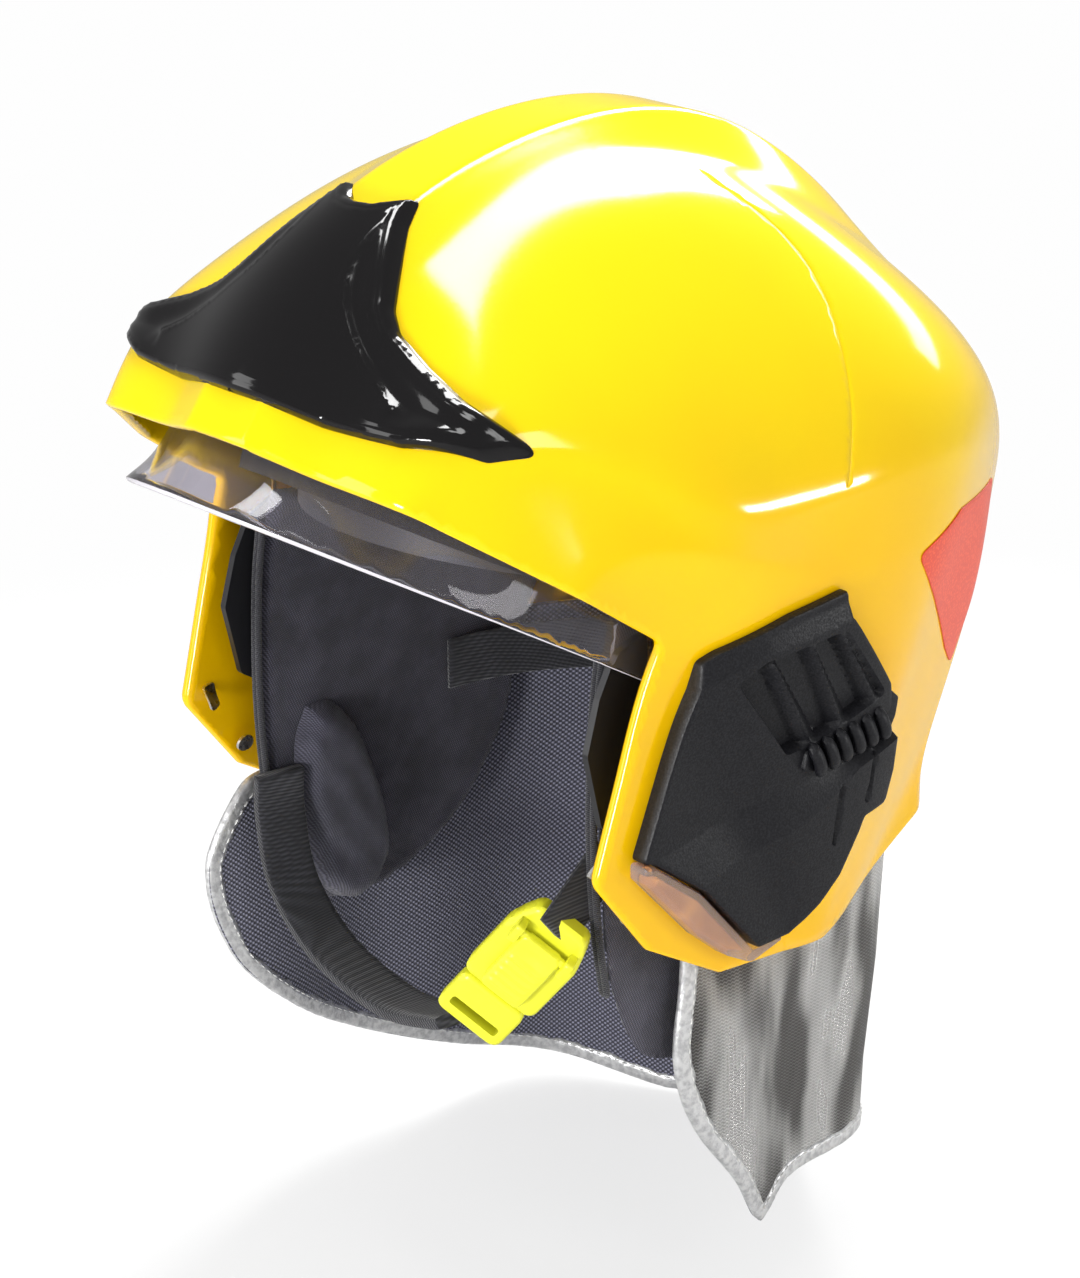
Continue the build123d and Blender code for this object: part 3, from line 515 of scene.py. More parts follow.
# How far a rounded edge falls away near its border
def edgeDrop(distance, radius):
    t = np.clip(radius - distance, 0, radius)
    return radius - np.sqrt(np.maximum(radius ** 2 - t ** 2, 0))


# A smooth line through points, in short steps
def curveThrough(points, step=0.8):
    points = np.array(points, float)
    padded = np.vstack([2 * points[0] - points[1], points, 2 * points[-1] - points[-2]])
    result = []
    for a, b, c, d in zip(padded[:-3], padded[1:-2], padded[2:-1], padded[3:]):
        count = max(1, round(np.linalg.norm(c - b) / step))
        for t in np.arange(count) / count:
            wa, wb, wc, wd = cubicWeights(t)
            result.append(wa * a + wb * b + wc * c + wd * d)
    result.append(points[-1])
    return np.array(result)


# Lines that run inside an outline, at the given distances from it
def insetLines(border, depths):
    border = np.asarray(border, float)
    along = np.roll(border, -1, 0) - np.roll(border, 1, 0)
    along /= np.hypot(*along.T)[:, None]
    area = np.sum(border[:, 0] * np.roll(border[:, 1], -1) - np.roll(border[:, 0], -1) * border[:, 1])
    inward = np.stack([-along[:, 1], along[:, 0]], 1) * np.sign(area)
    lines = []
    for depth in depths:
        spots = border + inward * depth
        good = insideOutline(border, spots) & (distanceTo(border, spots) > depth * 0.96)
        if good.all():
            lines.append(np.vstack([spots, spots[:1]]))
            continue
        start = int(np.argmin(good))
        run = []
        for i in range(start, start + len(spots) + 1):
            if good[i % len(spots)]:
                run.append(spots[i % len(spots)])
            else:
                if len(run) > 2:
                    lines.append(np.array(run))
                run = []
    return lines

# Camera, light and floor
view = {
    "azimuth": 45.5,
    "height": 19.4,
    "away": 1.130,
    "lens": 98.4,
    "shift": (-0.0344, -0.1244),
}
light = {
    "floorHeight": cadBox[0][2] - 0.0005,
    "world": 0.5,
    "reflected": 0.3,
    "overhead": {"at": (-0.19, 0.25, 0.99), "size": (0.17, 0.86), "power": 9,
                 "along": (-0.117, 0.79, -0.25)},
    "overRear": {"at": (-0.317, 0.752, 0.605), "size": (0.17, 0.55), "power": 6.5,
                 "along": (-0.138, 0.256, -0.441)},
    "front": {"at": (-1.0, -1.5, 0.35), "size": (0.5, 1.3), "power": 6},
    "side": {"at": (1.75, -0.45, 0.95), "size": (0.3, 0.9), "power": 5},
    "back": {"at": (-0.22, 1.25, 0.30), "size": (0.8, 0.16), "power": 2.5},
    "beside": {"at": (1.17, 0.78, -0.05), "size": (0.2, 0.1), "power": 3},
    "plate": {"at": (0.37, -0.41, 1.17), "size": (0.3, 0.3), "power": 2},
    "inside": {"at": (0.2, -1.25, 0.02), "size": (0.3, 0.25), "power": 10},
}


def lookAt(thing, target):
    direction = Vector(target) - thing.location
    thing.rotation_euler = direction.to_track_quat("-Z", "Y").to_euler()


cameraData = bpy.data.cameras.new("camera")
cameraData.lens = view["lens"]
cameraData.sensor_width = 36
cameraData.sensor_fit = "AUTO"
cameraData.shift_x, cameraData.shift_y = view["shift"]
cameraData.clip_start = 0.01
camera = bpy.data.objects.new("camera", cameraData)
bpy.context.scene.collection.objects.link(camera)
turn, lift = radians(view["azimuth"]), radians(view["height"])
camera.location = (
    view["away"] * sin(turn) * cos(lift),
    -view["away"] * cos(turn) * cos(lift),
    view["away"] * sin(lift),
)
lookAt(camera, (0, 0, 0))
bpy.context.scene.camera = camera
bpy.context.scene.view_settings.view_transform = "Standard"


def softbox(name, facts, target=(0, 0, 0)):
    lamp = bpy.data.lights.new(name, "AREA")
    lamp.shape = "RECTANGLE"
    lamp.size, lamp.size_y = facts["size"]
    lamp.energy = facts["power"]
    thing = bpy.data.objects.new(name, lamp)
    bpy.context.scene.collection.objects.link(thing)
    thing.location = facts["at"]
    lookAt(thing, target)
    if "along" in facts:
        back = (thing.location - Vector(target)).normalized()
        wide = Vector(facts["along"]).cross(back).normalized()
        thing.rotation_euler = Matrix((wide, back.cross(wide), back)).transposed().to_euler()
    return thing


for boxName in ("overhead", "overRear", "front", "side", "back", "beside", "plate", "inside"):
    softbox(boxName, light[boxName])
print("camera and lights ready")

# Materials
# A shader value that can be added, scaled and mixed like a number
class Sock:
    def __init__(self, tree, socket):
        self.tree, self.socket = tree, socket

    def maths(self, operation, *others):
        node = self.tree.nodes.new("ShaderNodeMath")
        node.operation = operation
        for slot, value in zip(node.inputs, (self, *others)):
            feed(self.tree, slot, value)
        return Sock(self.tree, node.outputs[0])

    def __add__(self, other):
        return self.maths("ADD", other)

    __radd__ = __add__

    def __mul__(self, other):
        return self.maths("MULTIPLY", other)

    __rmul__ = __mul__

    def __sub__(self, other):
        return self.maths("SUBTRACT", other)

    def __rsub__(self, other):
        return (self * -1) + other

    def __truediv__(self, other):
        return self.maths("DIVIDE", other)

    def __pow__(self, other):
        return self.maths("POWER", other)

    def __abs__(self):
        return self.maths("ABSOLUTE", 0)

    def clamped(self):
        return self.maths("MAXIMUM", 0).maths("MINIMUM", 1)

    def between(self, low, high, outLow=0.0, outHigh=1.0):
        node = self.tree.nodes.new("ShaderNodeMapRange")
        node.interpolation_type = "SMOOTHSTEP"
        for slot, value in zip(node.inputs, (self, low, high, outLow, outHigh)):
            feed(self.tree, slot, value)
        return Sock(self.tree, node.outputs[0])


def feed(tree, slot, value):
    if isinstance(value, Sock):
        tree.links.new(value.socket, slot)
    elif isinstance(value, bpy.types.NodeSocket):
        tree.links.new(value, slot)
    else:
        slot.default_value = value


# One material: its main shader and the nodes that vary it
class finish:
    def __init__(self, name, color, roughness, metallic=0.0, **fixed):
        self.material = bpy.data.materials.new(name)
        self.material.use_nodes = True
        self.tree = self.material.node_tree
        self.tree.nodes.clear()
        self.shader = self.tree.nodes.new("ShaderNodeBsdfPrincipled")
        self.output = self.tree.nodes.new("ShaderNodeOutputMaterial")
        self.tree.links.new(self.shader.outputs[0], self.output.inputs[0])
        self.material.diffuse_color = (*color[:3], 1)
        self.put("Base Color", (*color[:3], 1))
        self.put("Roughness", roughness)
        self.put("Metallic", metallic)
        for key, value in fixed.items():
            self.put(key.replace("_", " "), value)
        self.places = self.node("ShaderNodeTexCoord").outputs["Object"]

    def put(self, socket, value):
        if isinstance(value, tuple) and len(value) == 3 and socket in ("Base Color", "Coat Tint",
                                                                       "Sheen Tint"):
            value = (*value, 1)
        feed(self.tree, self.shader.inputs[socket], value)

    def node(self, kind, settings=None, **values):
        node = self.tree.nodes.new(kind)
        for key, value in (settings or {}).items():
            if key == "stops":
                ramp = node.color_ramp
                while len(ramp.elements) < len(value):
                    ramp.elements.new(0.5)
                for element, (place, color) in zip(ramp.elements, value):
                    element.position = place
                    element.color = color
            else:
                setattr(node, key, value)
        for key, value in values.items():
            feed(self.tree, node.inputs[int(key[2:]) if key.startswith("at") else key.replace("_", " ")],
                 value)
        return node

    def noise(self, scale, detail=3.0, rough=0.55, where=None):
        found = self.node("ShaderNodeTexNoise", Scale=scale, Detail=detail, Roughness=rough,
                          Vector=where or self.places)
        return Sock(self.tree, found.outputs["Fac"])

    def cells(self, scale, where=None, feature="F1"):
        found = self.node("ShaderNodeTexVoronoi", {"feature": feature}, Scale=scale,
                          Vector=where or self.places)
        return Sock(self.tree, found.outputs["Distance"])

    def axis(self, name, where=None):
        found = self.node("ShaderNodeSeparateXYZ", at0=where or self.places)
        return Sock(self.tree, found.outputs[name])

    def mixed(self, share, first, second):
        node = self.node("ShaderNodeMix", {"data_type": "RGBA"})
        feed(self.tree, node.inputs["Factor"], share)
        for slot, value in ((node.inputs[6], first), (node.inputs[7], second)):
            feed(self.tree, slot, (*value, 1) if isinstance(value, tuple) and len(value) == 3 else value)
        return node.outputs[2]

    def bump(self, height, distance, strength=1.0):
        node = self.node("ShaderNodeBump", Strength=strength, Distance=distance, Height=height)
        self.put("Normal", node.outputs[0])

    def on(self, *pieces):
        for piece in pieces:
            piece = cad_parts.get(piece) if isinstance(piece, str) else piece
            piece.data.materials.clear()
            piece.data.materials.append(self.material)


# Threads that pass over and under each other, as a height between -1 and 1
def weave(u, v, pitchU, pitchV):
    return (u * (pi / pitchU)).maths("SINE") * (v * (pi / pitchV)).maths("SINE")


def clothAxes(made, name="clothFlat"):
    found = made.node("ShaderNodeAttribute", {"attribute_name": name}).outputs["Vector"]
    return made.axis("X", found), made.axis("Y", found)


def millimetres(made, name):
    return made.axis(name) * 1000


# lemon is the paint itself; deep is the darker orange that is painted on the lower part as shade
paint = {"lemon": (0.92, 0.67, 0.0), "deep": (0.92, 0.5, 0.0), "roughness": 0.1}
yellow = finish("shellYellow", paint["lemon"], paint["roughness"], Specular_IOR_Level=0.5)
# Painted shade: the paint turns to the deeper orange towards the bottom of the helmet, where less light
# falls; the cloudy noise is the paint's own uneven tone
paintedShadeLow = yellow.axis("Z").between(0.075, -0.03)
cloudy = yellow.noise(14, 2).between(0.35, 0.75, 0, 0.25)
yellow.put("Base Color", yellow.mixed((paintedShadeLow * 0.8 + cloudy).clamped(), paint["lemon"], paint["deep"]))
yellow.bump(yellow.noise(420, 1.0), 0.00003, 0.25)

glossBlack = finish("plateBlack", (0.004, 0.0035, 0.004), 0.09, Specular_IOR_Level=0.5)
glossBlack.bump(glossBlack.noise(300, 1.0), 0.00003, 0.3)

grainBlack = finish("coverBlack", (0.006, 0.006, 0.008), 0.42, Specular_IOR_Level=0.35)
grain = grainBlack.noise(1500, 2.0)
grainBlack.put("Base Color", grainBlack.mixed(grain.between(0.35, 0.7), (0.003, 0.003, 0.005),
                                              (0.012, 0.012, 0.015)))
grainBlack.put("Roughness", grain.between(0.3, 0.7, 0.52, 0.4))
grainBlack.bump(grain, 0.00012, 0.6)

satinBlack = finish("carrierBlack", (0.013, 0.013, 0.015), 0.3)
satinBlack.bump(satinBlack.noise(700, 1.5), 0.00005, 0.3)
bandBlack = finish("bandBlack", (0.025, 0.025, 0.03), 0.5)
bandBlack.bump(bandBlack.noise(900, 2.0), 0.00008, 0.5)
foamBlack = finish("foamBlack", (0.02, 0.02, 0.024), 0.9)
foamBlack.bump(foamBlack.cells(700), 0.0003, 0.5)

clearPlastic = finish("clearShield", (0.93, 0.9, 0.97), 0.02, Transmission_Weight=0.98, IOR=1.3)
clearEdge = finish("clearEdge", (0.85, 0.82, 0.88), 0.15, Transmission_Weight=0.3, IOR=1.4)
amberVisor = finish("tintedVisor", (0.86, 0.5, 0.16), 0.04, Transmission_Weight=1.0, IOR=1.3)
lampClear = finish("lampClear", (0.88, 0.8, 0.8), 0.1, Transmission_Weight=0.85, IOR=1.25)
lampClear.put("Roughness", lampClear.noise(60, 2).between(0.3, 0.7, 0.1, 0.26))
lampAmber = finish("lampAmber", (0.72, 0.34, 0.07), 0.3)
lampAmber.put("Base Color", lampAmber.mixed(lampAmber.noise(45, 2).between(0.3, 0.7), (0.85, 0.4, 0.08),
                                            (0.5, 0.2, 0.05)))

limePlastic = finish("limePlastic", (0.78, 0.78, 0.03), 0.34, Subsurface_Weight=0.0)
limePlastic.bump(limePlastic.noise(600, 1.5), 0.00004, 0.3)

orangeFilm = finish("orangeFilm", (0.9, 0.1, 0.03), 0.38)
facets = orangeFilm.cells(900)
orangeFilm.put("Base Color", orangeFilm.mixed(facets.between(0.1, 0.6), (0.95, 0.13, 0.04),
                                              (0.78, 0.06, 0.02)))
orangeFilm.bump(facets, 0.00004, 0.4)

steel = finish("clipSteel", (0.75, 0.74, 0.72), 0.28, 1.0)
steel.put("Roughness", steel.noise(500, 2).between(0.3, 0.7, 0.2, 0.38))

knit = {"base": (0.022, 0.021, 0.032), "lit": (0.125, 0.12, 0.17), "pitch": 0.95}


# Fine ribbed cloth, with soft fibres that catch the light and a painted highlight on the tops of its ribs
def knitted(name, base, lit, pitch, across=("Y", "Z"), strength=0.7):
    made = finish(name, base, 0.88, Sheen_Weight=0.25, Sheen_Roughness=0.5)
    u, v = millimetres(made, across[0]), millimetres(made, across[1])
    drift = made.noise(90, 2) * 0.8
    ribs = ((u + v * 0.45 + drift) * (2 * pi / pitch)).maths("SINE")
    steps = ((v - u * 0.3) * (2 * pi / (pitch * 0.8))).maths("SINE")
    height = ribs * 0.6 + steps * 0.4
    # Painted highlight: the rib tops are mixed towards the lit colour, more strongly in some random patches
    # than in others
    highlightPatches = made.noise(60, 3).between(0.3, 0.75, 0.2, 1)
    made.put("Base Color", made.mixed(height.between(-0.6, 0.9) * highlightPatches, base, lit))
    made.bump(height, 0.00022, strength)
    return made


linerCloth = knitted("linerCloth", knit["base"], knit["lit"], knit["pitch"])
padCloth = knitted("padCloth", (0.026, 0.025, 0.038), (0.14, 0.135, 0.19), 0.8)
pipingCloth = knitted("pipingCloth", (0.014, 0.014, 0.018), (0.05, 0.05, 0.062), 0.7, ("Z", "Y"))
strapCloth = knitted("strapCloth", (0.01, 0.01, 0.013), (0.045, 0.045, 0.056), 1.3, ("Z", "X"))

silverCloth = finish("silverCloth", (0.62, 0.6, 0.58), 0.34, 0.85)
u, v = clothAxes(silverCloth)
threads = (v * (2 * pi / 1.2) + (u * (pi / 1.0)).maths("SINE") * 1.3).maths("SINE")
drape = silverCloth.node("ShaderNodeCombineXYZ", X=u * 0.042, Y=v * 0.014).outputs[0]
folds = silverCloth.noise(1, 2, 0.5, drape)
# Painted reflection: dark and bright bands that follow the folds are mixed into the base colour; the
# threads are the cloth's own pattern
silverCloth.put("Base Color",
                silverCloth.mixed((folds.between(0.36, 0.62) * 0.85 + threads * 0.16).clamped(),
                                                (0.13, 0.125, 0.12), (0.95, 0.94, 0.92)))
silverCloth.put("Roughness", folds.between(0.35, 0.65, 0.42, 0.26))
silverCloth.bump(threads + folds * 30, 0.0003, 0.85)

greyCloth = finish("greyCloth", (0.05, 0.05, 0.062), 0.8, Sheen_Weight=0.2)
u, v = clothAxes(greyCloth)
threads = weave(u, v, 1.15, 0.9)
greyCloth.put("Base Color", greyCloth.mixed(threads.between(-0.2, 0.8), (0.04, 0.04, 0.058),
                                            (0.3, 0.3, 0.4)))
greyCloth.bump(threads, 0.0003, 0.8)

bindingCloth = finish("bindingCloth", (0.72, 0.72, 0.72), 0.38, 0.75)
creased = bindingCloth.noise(420, 3)
# Painted shade: the base colour is darker in the hollows of the creases that the bump draws
bindingCloth.put("Base Color", bindingCloth.mixed(creased.between(0.3, 0.65), (0.62, 0.62, 0.63),
                                                  (0.92, 0.92, 0.92)))
bindingCloth.bump(creased, 0.0006, 0.7)
threadWhite = finish("threadWhite", (0.7, 0.7, 0.68), 0.7)
print("materials ready")

# Floor and surroundings
# One where a ray is of any of these kinds, else zero
def raysOf(tree, *kinds):
    rays = tree.nodes.new("ShaderNodeLightPath")
    share = Sock(tree, rays.outputs[kinds[0]])
    for kind in kinds[1:]:
        share = share.maths("MAXIMUM", Sock(tree, rays.outputs[kind]))
    return share


world = bpy.data.worlds.new("studio")
bpy.context.scene.world = world
world.use_nodes = True
backdrop = world.node_tree.nodes["Background"]
backdrop.inputs["Color"].default_value = (1, 1, 1, 1)
direct = raysOf(world.node_tree, "Is Camera Ray", "Is Transmission Ray")
mirrored = raysOf(world.node_tree, "Is Glossy Ray") * (1 - direct)
feed(world.node_tree, backdrop.inputs["Strength"],
     direct * (1 - light["world"]) + mirrored * (light["reflected"] - light["world"]) + light["world"])

floorFinish = finish("floorPale", (0.93, 0.93, 0.93), 0.9)
glow = floorFinish.node("ShaderNodeEmission", Color=(1, 1, 1, 1), Strength=0.99)
blendNode = floorFinish.node("ShaderNodeMixShader")
floorX = floorFinish.axis("X")
floorY = floorFinish.axis("Y")
farOff = (floorX * floorX + floorY * floorY).between(0.04, 0.5, 0.72, 1)
feed(floorFinish.tree, blendNode.inputs[0], raysOf(floorFinish.tree, "Is Camera Ray",
                                                   "Is Transmission Ray") * farOff)
floorFinish.tree.links.new(floorFinish.shader.outputs[0], blendNode.inputs[1])
floorFinish.tree.links.new(glow.outputs[0], blendNode.inputs[2])
dim = floorFinish.node("ShaderNodeEmission", Color=(1, 1, 1, 1), Strength=light["reflected"])
mirrorNode = floorFinish.node("ShaderNodeMixShader")
feed(floorFinish.tree, mirrorNode.inputs[0], raysOf(floorFinish.tree, "Is Glossy Ray") * 0.75)
floorFinish.tree.links.new(blendNode.outputs[0], mirrorNode.inputs[1])
floorFinish.tree.links.new(dim.outputs[0], mirrorNode.inputs[2])
floorFinish.tree.links.new(mirrorNode.outputs[0], floorFinish.output.inputs[0])
half = 6000
height = light["floorHeight"] / mm
floor = newPiece("floor", [(-half, -half, height), (half, -half, height), (half, half, height),
                           (-half, half, height)],
                 [(0, 1, 2, 3)], body=None, smooth=False)
floorFinish.on(floor)

# The hard shell
shell = {
    "wall": 4.0,
    "step": 2.3,  # size of the surface grid
    "rimRound": 0.7,
    "edge": [(-152, 52), (-70, -7), (-91, -80), (-56, -125), (8, -131), (60, -119), (128, -103)],
    "corner": 6,
    "seam": [(51, 11, 108), (81, 18, 89), (107, 7, 59), (117, -5, 29)],
    "seamWidth": 0.5,
    "seamDepth": 0.35,
}


# The lower edge of the helmet seen from the side, in short steps
def sideCut(edge, corner, step=0.6):
    front, first = np.array(edge[0], float), np.array(edge[1], float)
    far = front + (front - first) / np.hypot(*(front - first)) * 80
    closed = [tuple(far), *edge[1:], (320, edge[-1][1]), (320, -320), (-320, -320), (-320, far[1])]
    radii = [0] + [corner] * (len(edge) - 2) + [0] * 5
    return roundedOutline(closed, radii, step)


cutLine = sideCut(shell["edge"], shell["corner"])
track = []
for y, z in cutLine:
    angle = degrees(atan2(z - formAxis, -y))
    if not 31 < angle < 169 or z < -140 or abs(y) > 200:
        continue
    crown = np.interp(angle, shellForm.angles, shellForm.r[:, 0])
    if hypot(y, z - formAxis) < crown - 0.02:
        track.append(shellForm.place(y, z))
track = [(track[0][0], 0)] + track + [(track[-1][0], 0)]

warpAt = np.linspace(0, shellForm.count - 1, 400)
density = 1 + sum(1.3 * np.exp(-((warpAt - corner) / 2.2) ** 2) for corner in sectionStarts[1:5])
warp = np.concatenate([[0], np.cumsum((density[1:] + density[:-1]) / 2 * np.diff(warpAt))]) * 1.6
middleLine = [(a, 0) for a in np.arange(track[-1][0] - 0.6, track[0][0], -0.6)]
outline = [(a * 4, np.interp(p, warpAt, warp)) for a, p in track + middleLine]
seamSide = curveThrough([(y, z) for x, y, z in shell["seam"]], 0.8)
seamAhead = np.gradient(seamSide, axis=0)
seamAhead /= np.hypot(*seamAhead.T)[:, None]
seamTracks = []
for lean in (-1, 0, 1):
    spots = seamSide + np.stack([seamAhead[:, 1], -seamAhead[:, 0]], 1) * lean * shell["seamWidth"] / 2
    placed = [shellForm.place(y, z) for y, z in spots]
    seamTracks.append(np.array([(a * 4, np.interp(p, warpAt, warp)) for a, p in placed]))
flat, shellFaces = filledOutline(outline, shell["step"], lines=seamTracks)
shellHalf = shellForm.at(flat[:, 0] / 4, np.interp(flat[:, 1], warp, warpAt))
onSeam = distanceTo(seamTracks[1], flat, False) < 1e-3
shellHalf -= pointNormals(shellHalf, shellFaces) * (onSeam * shell["seamDepth"])[:, None] * (
    1 if np.mean(pointNormals(shellHalf, shellFaces)[:, 2]) > 0 else -1)
shellHalf[np.abs(shellHalf[:, 0]) < 0.02, 0] = 0


# The half and its mirror image, sharing the points on the middle line
def wholeFromHalf(points, faces):
    count = len(points)
    middle = points[:, 0] == 0
    other = np.where(middle, np.arange(count), np.cumsum(~middle) - 1 + count)
    both = np.vstack([points, points[~middle] * (-1, 1, 1)])
    return both, np.vstack([faces, other[faces][:, ::-1]])


shellPoints, shellFaces = wholeFromHalf(shellHalf, shellFaces)
shellFaces = towards(shellPoints, shellFaces, 2)
shellPiece = newPiece("shell", *walled(shellPoints, shellFaces, shell["wall"], shell["rimRound"]),
                      slot="shell_yellow")
yellow.on(shellPiece)
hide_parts("outer_shell")
print("shell ready", len(shellPiece.data.polygons))

# Front plate
plate = {
    "tilt": 41,
    "half": [(0, 22), (6, 23), (15, 30), (19, 20), (25, 9), (33, -6), (39, -12), (53, -18), (68, -23),
             (88, -26), (80, -36), (60, -43), (32, -46), (0, -47)],
    "round": [0, 1.5, 1.5, 8, 10, 8, 8, 8, 8, 2.5, 3, 8, 8, 0],
    "lip": 2.9,
    "border": 3.4,
    "field": 3.2,
    "fieldBevel": 0.7,
    "crease": [(14.5, 27), (14.5, 12), (17, 0), (21, -9), (30, -19), (42, -28), (52, -34)],
    "hollow": 2.9,
    "hollowWide": 5,
    "step": 1.3,
    "depths": (30.0, 220.0),  # where the shell is looked for
    "bead": 0.22,
    "beadWide": 0.5,
}


plateTurn = radians(plate["tilt"])
plateOut = np.array((0, -cos(plateTurn), sin(plateTurn)))
plateUp = np.array((0, sin(plateTurn), cos(plateTurn)))


def foreheadPoint(x, u, t):
    x, u, t = np.broadcast_arrays(x, u, t)
    return np.stack([x, u * plateUp[1] + t * plateOut[1], u * plateUp[2] + t * plateOut[2]], -1)


# How far in front of the middle plane the shell lies
def foreheadDepth(x, u):
    def inside(depth):
        spot = foreheadPoint(x, u, depth)
        return shellForm.side(spot[:, 1], spot[:, 2]) > np.abs(x) + 1e-3

    return edgeOf(inside, *plate["depths"], 26)


def platePiece():
    half = plate["half"]
    closed = half + [(-x, u) for x, u in half[::-1] if x > 0]
    radii = plate["round"] + [r for (x, u), r in zip(half[::-1], plate["round"][::-1]) if x > 0]
    border = roundedOutline(closed, radii, 0.9)
    creases = [curveThrough(plate["crease"]), curveThrough([(-x, u) for x, u in plate["crease"]])]
    fieldAt = plate["border"] + plate["fieldBevel"]
    rings = insetLines(border, (0.35, 0.9, plate["border"] - 0.4, plate["border"], fieldAt))
    flat, faces = filledOutline(border, plate["step"], lines=[*creases, *rings])
    x, u = flat.T
    depth = foreheadDepth(x, u)
    away, level = np.abs(x) / 90, u / 50
    terms = np.stack([away ** i * level ** j for i in (0, 2, 4, 6) for j in range(3)], 1)
    base = terms @ np.linalg.lstsq(terms, depth, rcond=None)[0]
    base += np.percentile(depth - base, 97)
    d = distanceTo(border, flat)
    rise = plate["lip"] * smoothStep(d, -0.6, 1.6) - edgeDrop(d, 0.9) * 0.6
    rise += (plate["field"] - plate["lip"]) * smoothStep(d, plate["border"], fieldAt)
    beyond = np.minimum(distanceTo(creases[0], flat, False), distanceTo(creases[1], flat, False))
    creaseX = np.interp(u, [p[1] for p in plate["crease"][::-1]], [p[0] for p in plate["crease"][::-1]])
    outer = np.abs(x) > creaseX
    hollow = plate["hollow"] * (1 - np.exp(-beyond / plate["hollowWide"]))
    hollow *= smoothStep(d, plate["border"], plate["border"] + 9)
    rise -= np.where(outer, hollow, 0)
    bead = plate["bead"] * np.exp(-(beyond / plate["beadWide"]) ** 2)
    rise += bead * smoothStep(d, plate["border"], plate["border"] + 2)
    height = base + rise
    top = foreheadPoint(x, u, np.maximum(height, depth + 0.3))
    lowest = foreheadPoint(x, u, depth + 0.15)
    thickness = np.linalg.norm(top - lowest, axis=1)
    normals = np.tile(plateOut, (len(x), 1))
    points, allFaces = walled(top, faces, thickness, 0.15, 1, normals)
    return newPiece("frontPlate", points, allFaces, slot="gloss_black")


platePart = settled(platePiece(), glossBlack, "front_plate", gap=0.005, sharp=50)
print("plate ready", len(platePart.data.polygons))

# Side covers
cover = {
    "outline": [(-59, -15), (-54, -12.5), (-29, -6), (-7, -3), (-5.5, -11.6), (-1, -17), (17.5, -41),
                (21, -55), (22, -72), (20, -83), (9, -84), (7, -89), (0.5, -102), (-7, -110), (-18, -117.6),
                (-31, -117.9), (-54.6, -91), (-74, -76.6), (-78.3, -75.2), (-72.5, -58.5), (-66.5, -42),
                (-60.5, -24)],
    "round": [2.5, 6, 6, 1.5, 3, 4, 4, 4, 3, 1.5, 1.5, 3, 5, 5, 2, 1.5, 3, 2, 2, 8, 8, 4],
    "flange": [(-57.5, -21.5), (-37.3, -15.9), (-6.9, -12.6)],
    "flangeDrop": 2.0,
    "panel": 5.6,
    "facetHigh": [(-80, -76.6), (-75.4, -75.6), (-47.5, -70.5), (-16.8, -63.3), (0, -61.6), (26, -57.5)],
    "facetLow": [(-80, -92), (-55.9, -89), (-19.9, -77.7), (-5.2, -69.2), (3, -64.4), (26, -59)],
    "bulge": 8.9,
    "recess": [(-48.6, -23.4), (-39.2, -18), (-8.3, -15), (14.8, -43.4), (-17, -51.8), (-26.6, -53)],
    "recessRound": [3, 2.5, 2, 2, 2, 3],
    "floor": 1.3,
    "wall": 1.8,
    "ribs": [((-35.6, -20.5), (-16.4, -51.5)), ((-21.6, -17.5), (-3.6, -49)),
             ((-10.4, -15.6), (11.8, -46.5))],
    "ribHalf": (2.4, 4.2),
    "ribRise": 4.6,
    "grooves": [((-4.2, -69.4), (-4.6, -88.8)), ((9.8, -62), (8.5, -78.2))],
    "grooveHalf": 0.9,
    "grooveDepth": 1.2,
    "step": 1.0,
}


# Signed distance to an open line: positive under it
def sideOf(line, points):
    line = np.asarray(line, float)
    low = np.interp(points[:, 0], line[:, 0], line[:, 1])
    return np.sign(low - points[:, 1]) * distanceTo(line, points, False)


# Points seen from the side, set on the shell and lifted off it
def onSide(flat, rise):
    y, z = flat[:, 0], flat[:, 1]
    x = shellForm.side(y, z)
    gap = 0.4
    slopeY = (shellForm.side(y + gap, z) - shellForm.side(y - gap, z)) / (2 * gap)
    slopeZ = (shellForm.side(y, z + gap) - shellForm.side(y, z - gap)) / (2 * gap)
    normal = np.stack([np.ones(len(y)), -slopeY, -slopeZ], 1)
    normal /= np.linalg.norm(normal, axis=1)[:, None]
    outward = np.stack([x, y, z], 1)
    straightOut = np.tile((1.0, 0.0, 0.0), (len(y), 1))
    return outward + straightOut * (rise / np.maximum(normal[:, 0], 0.5))[:, None]


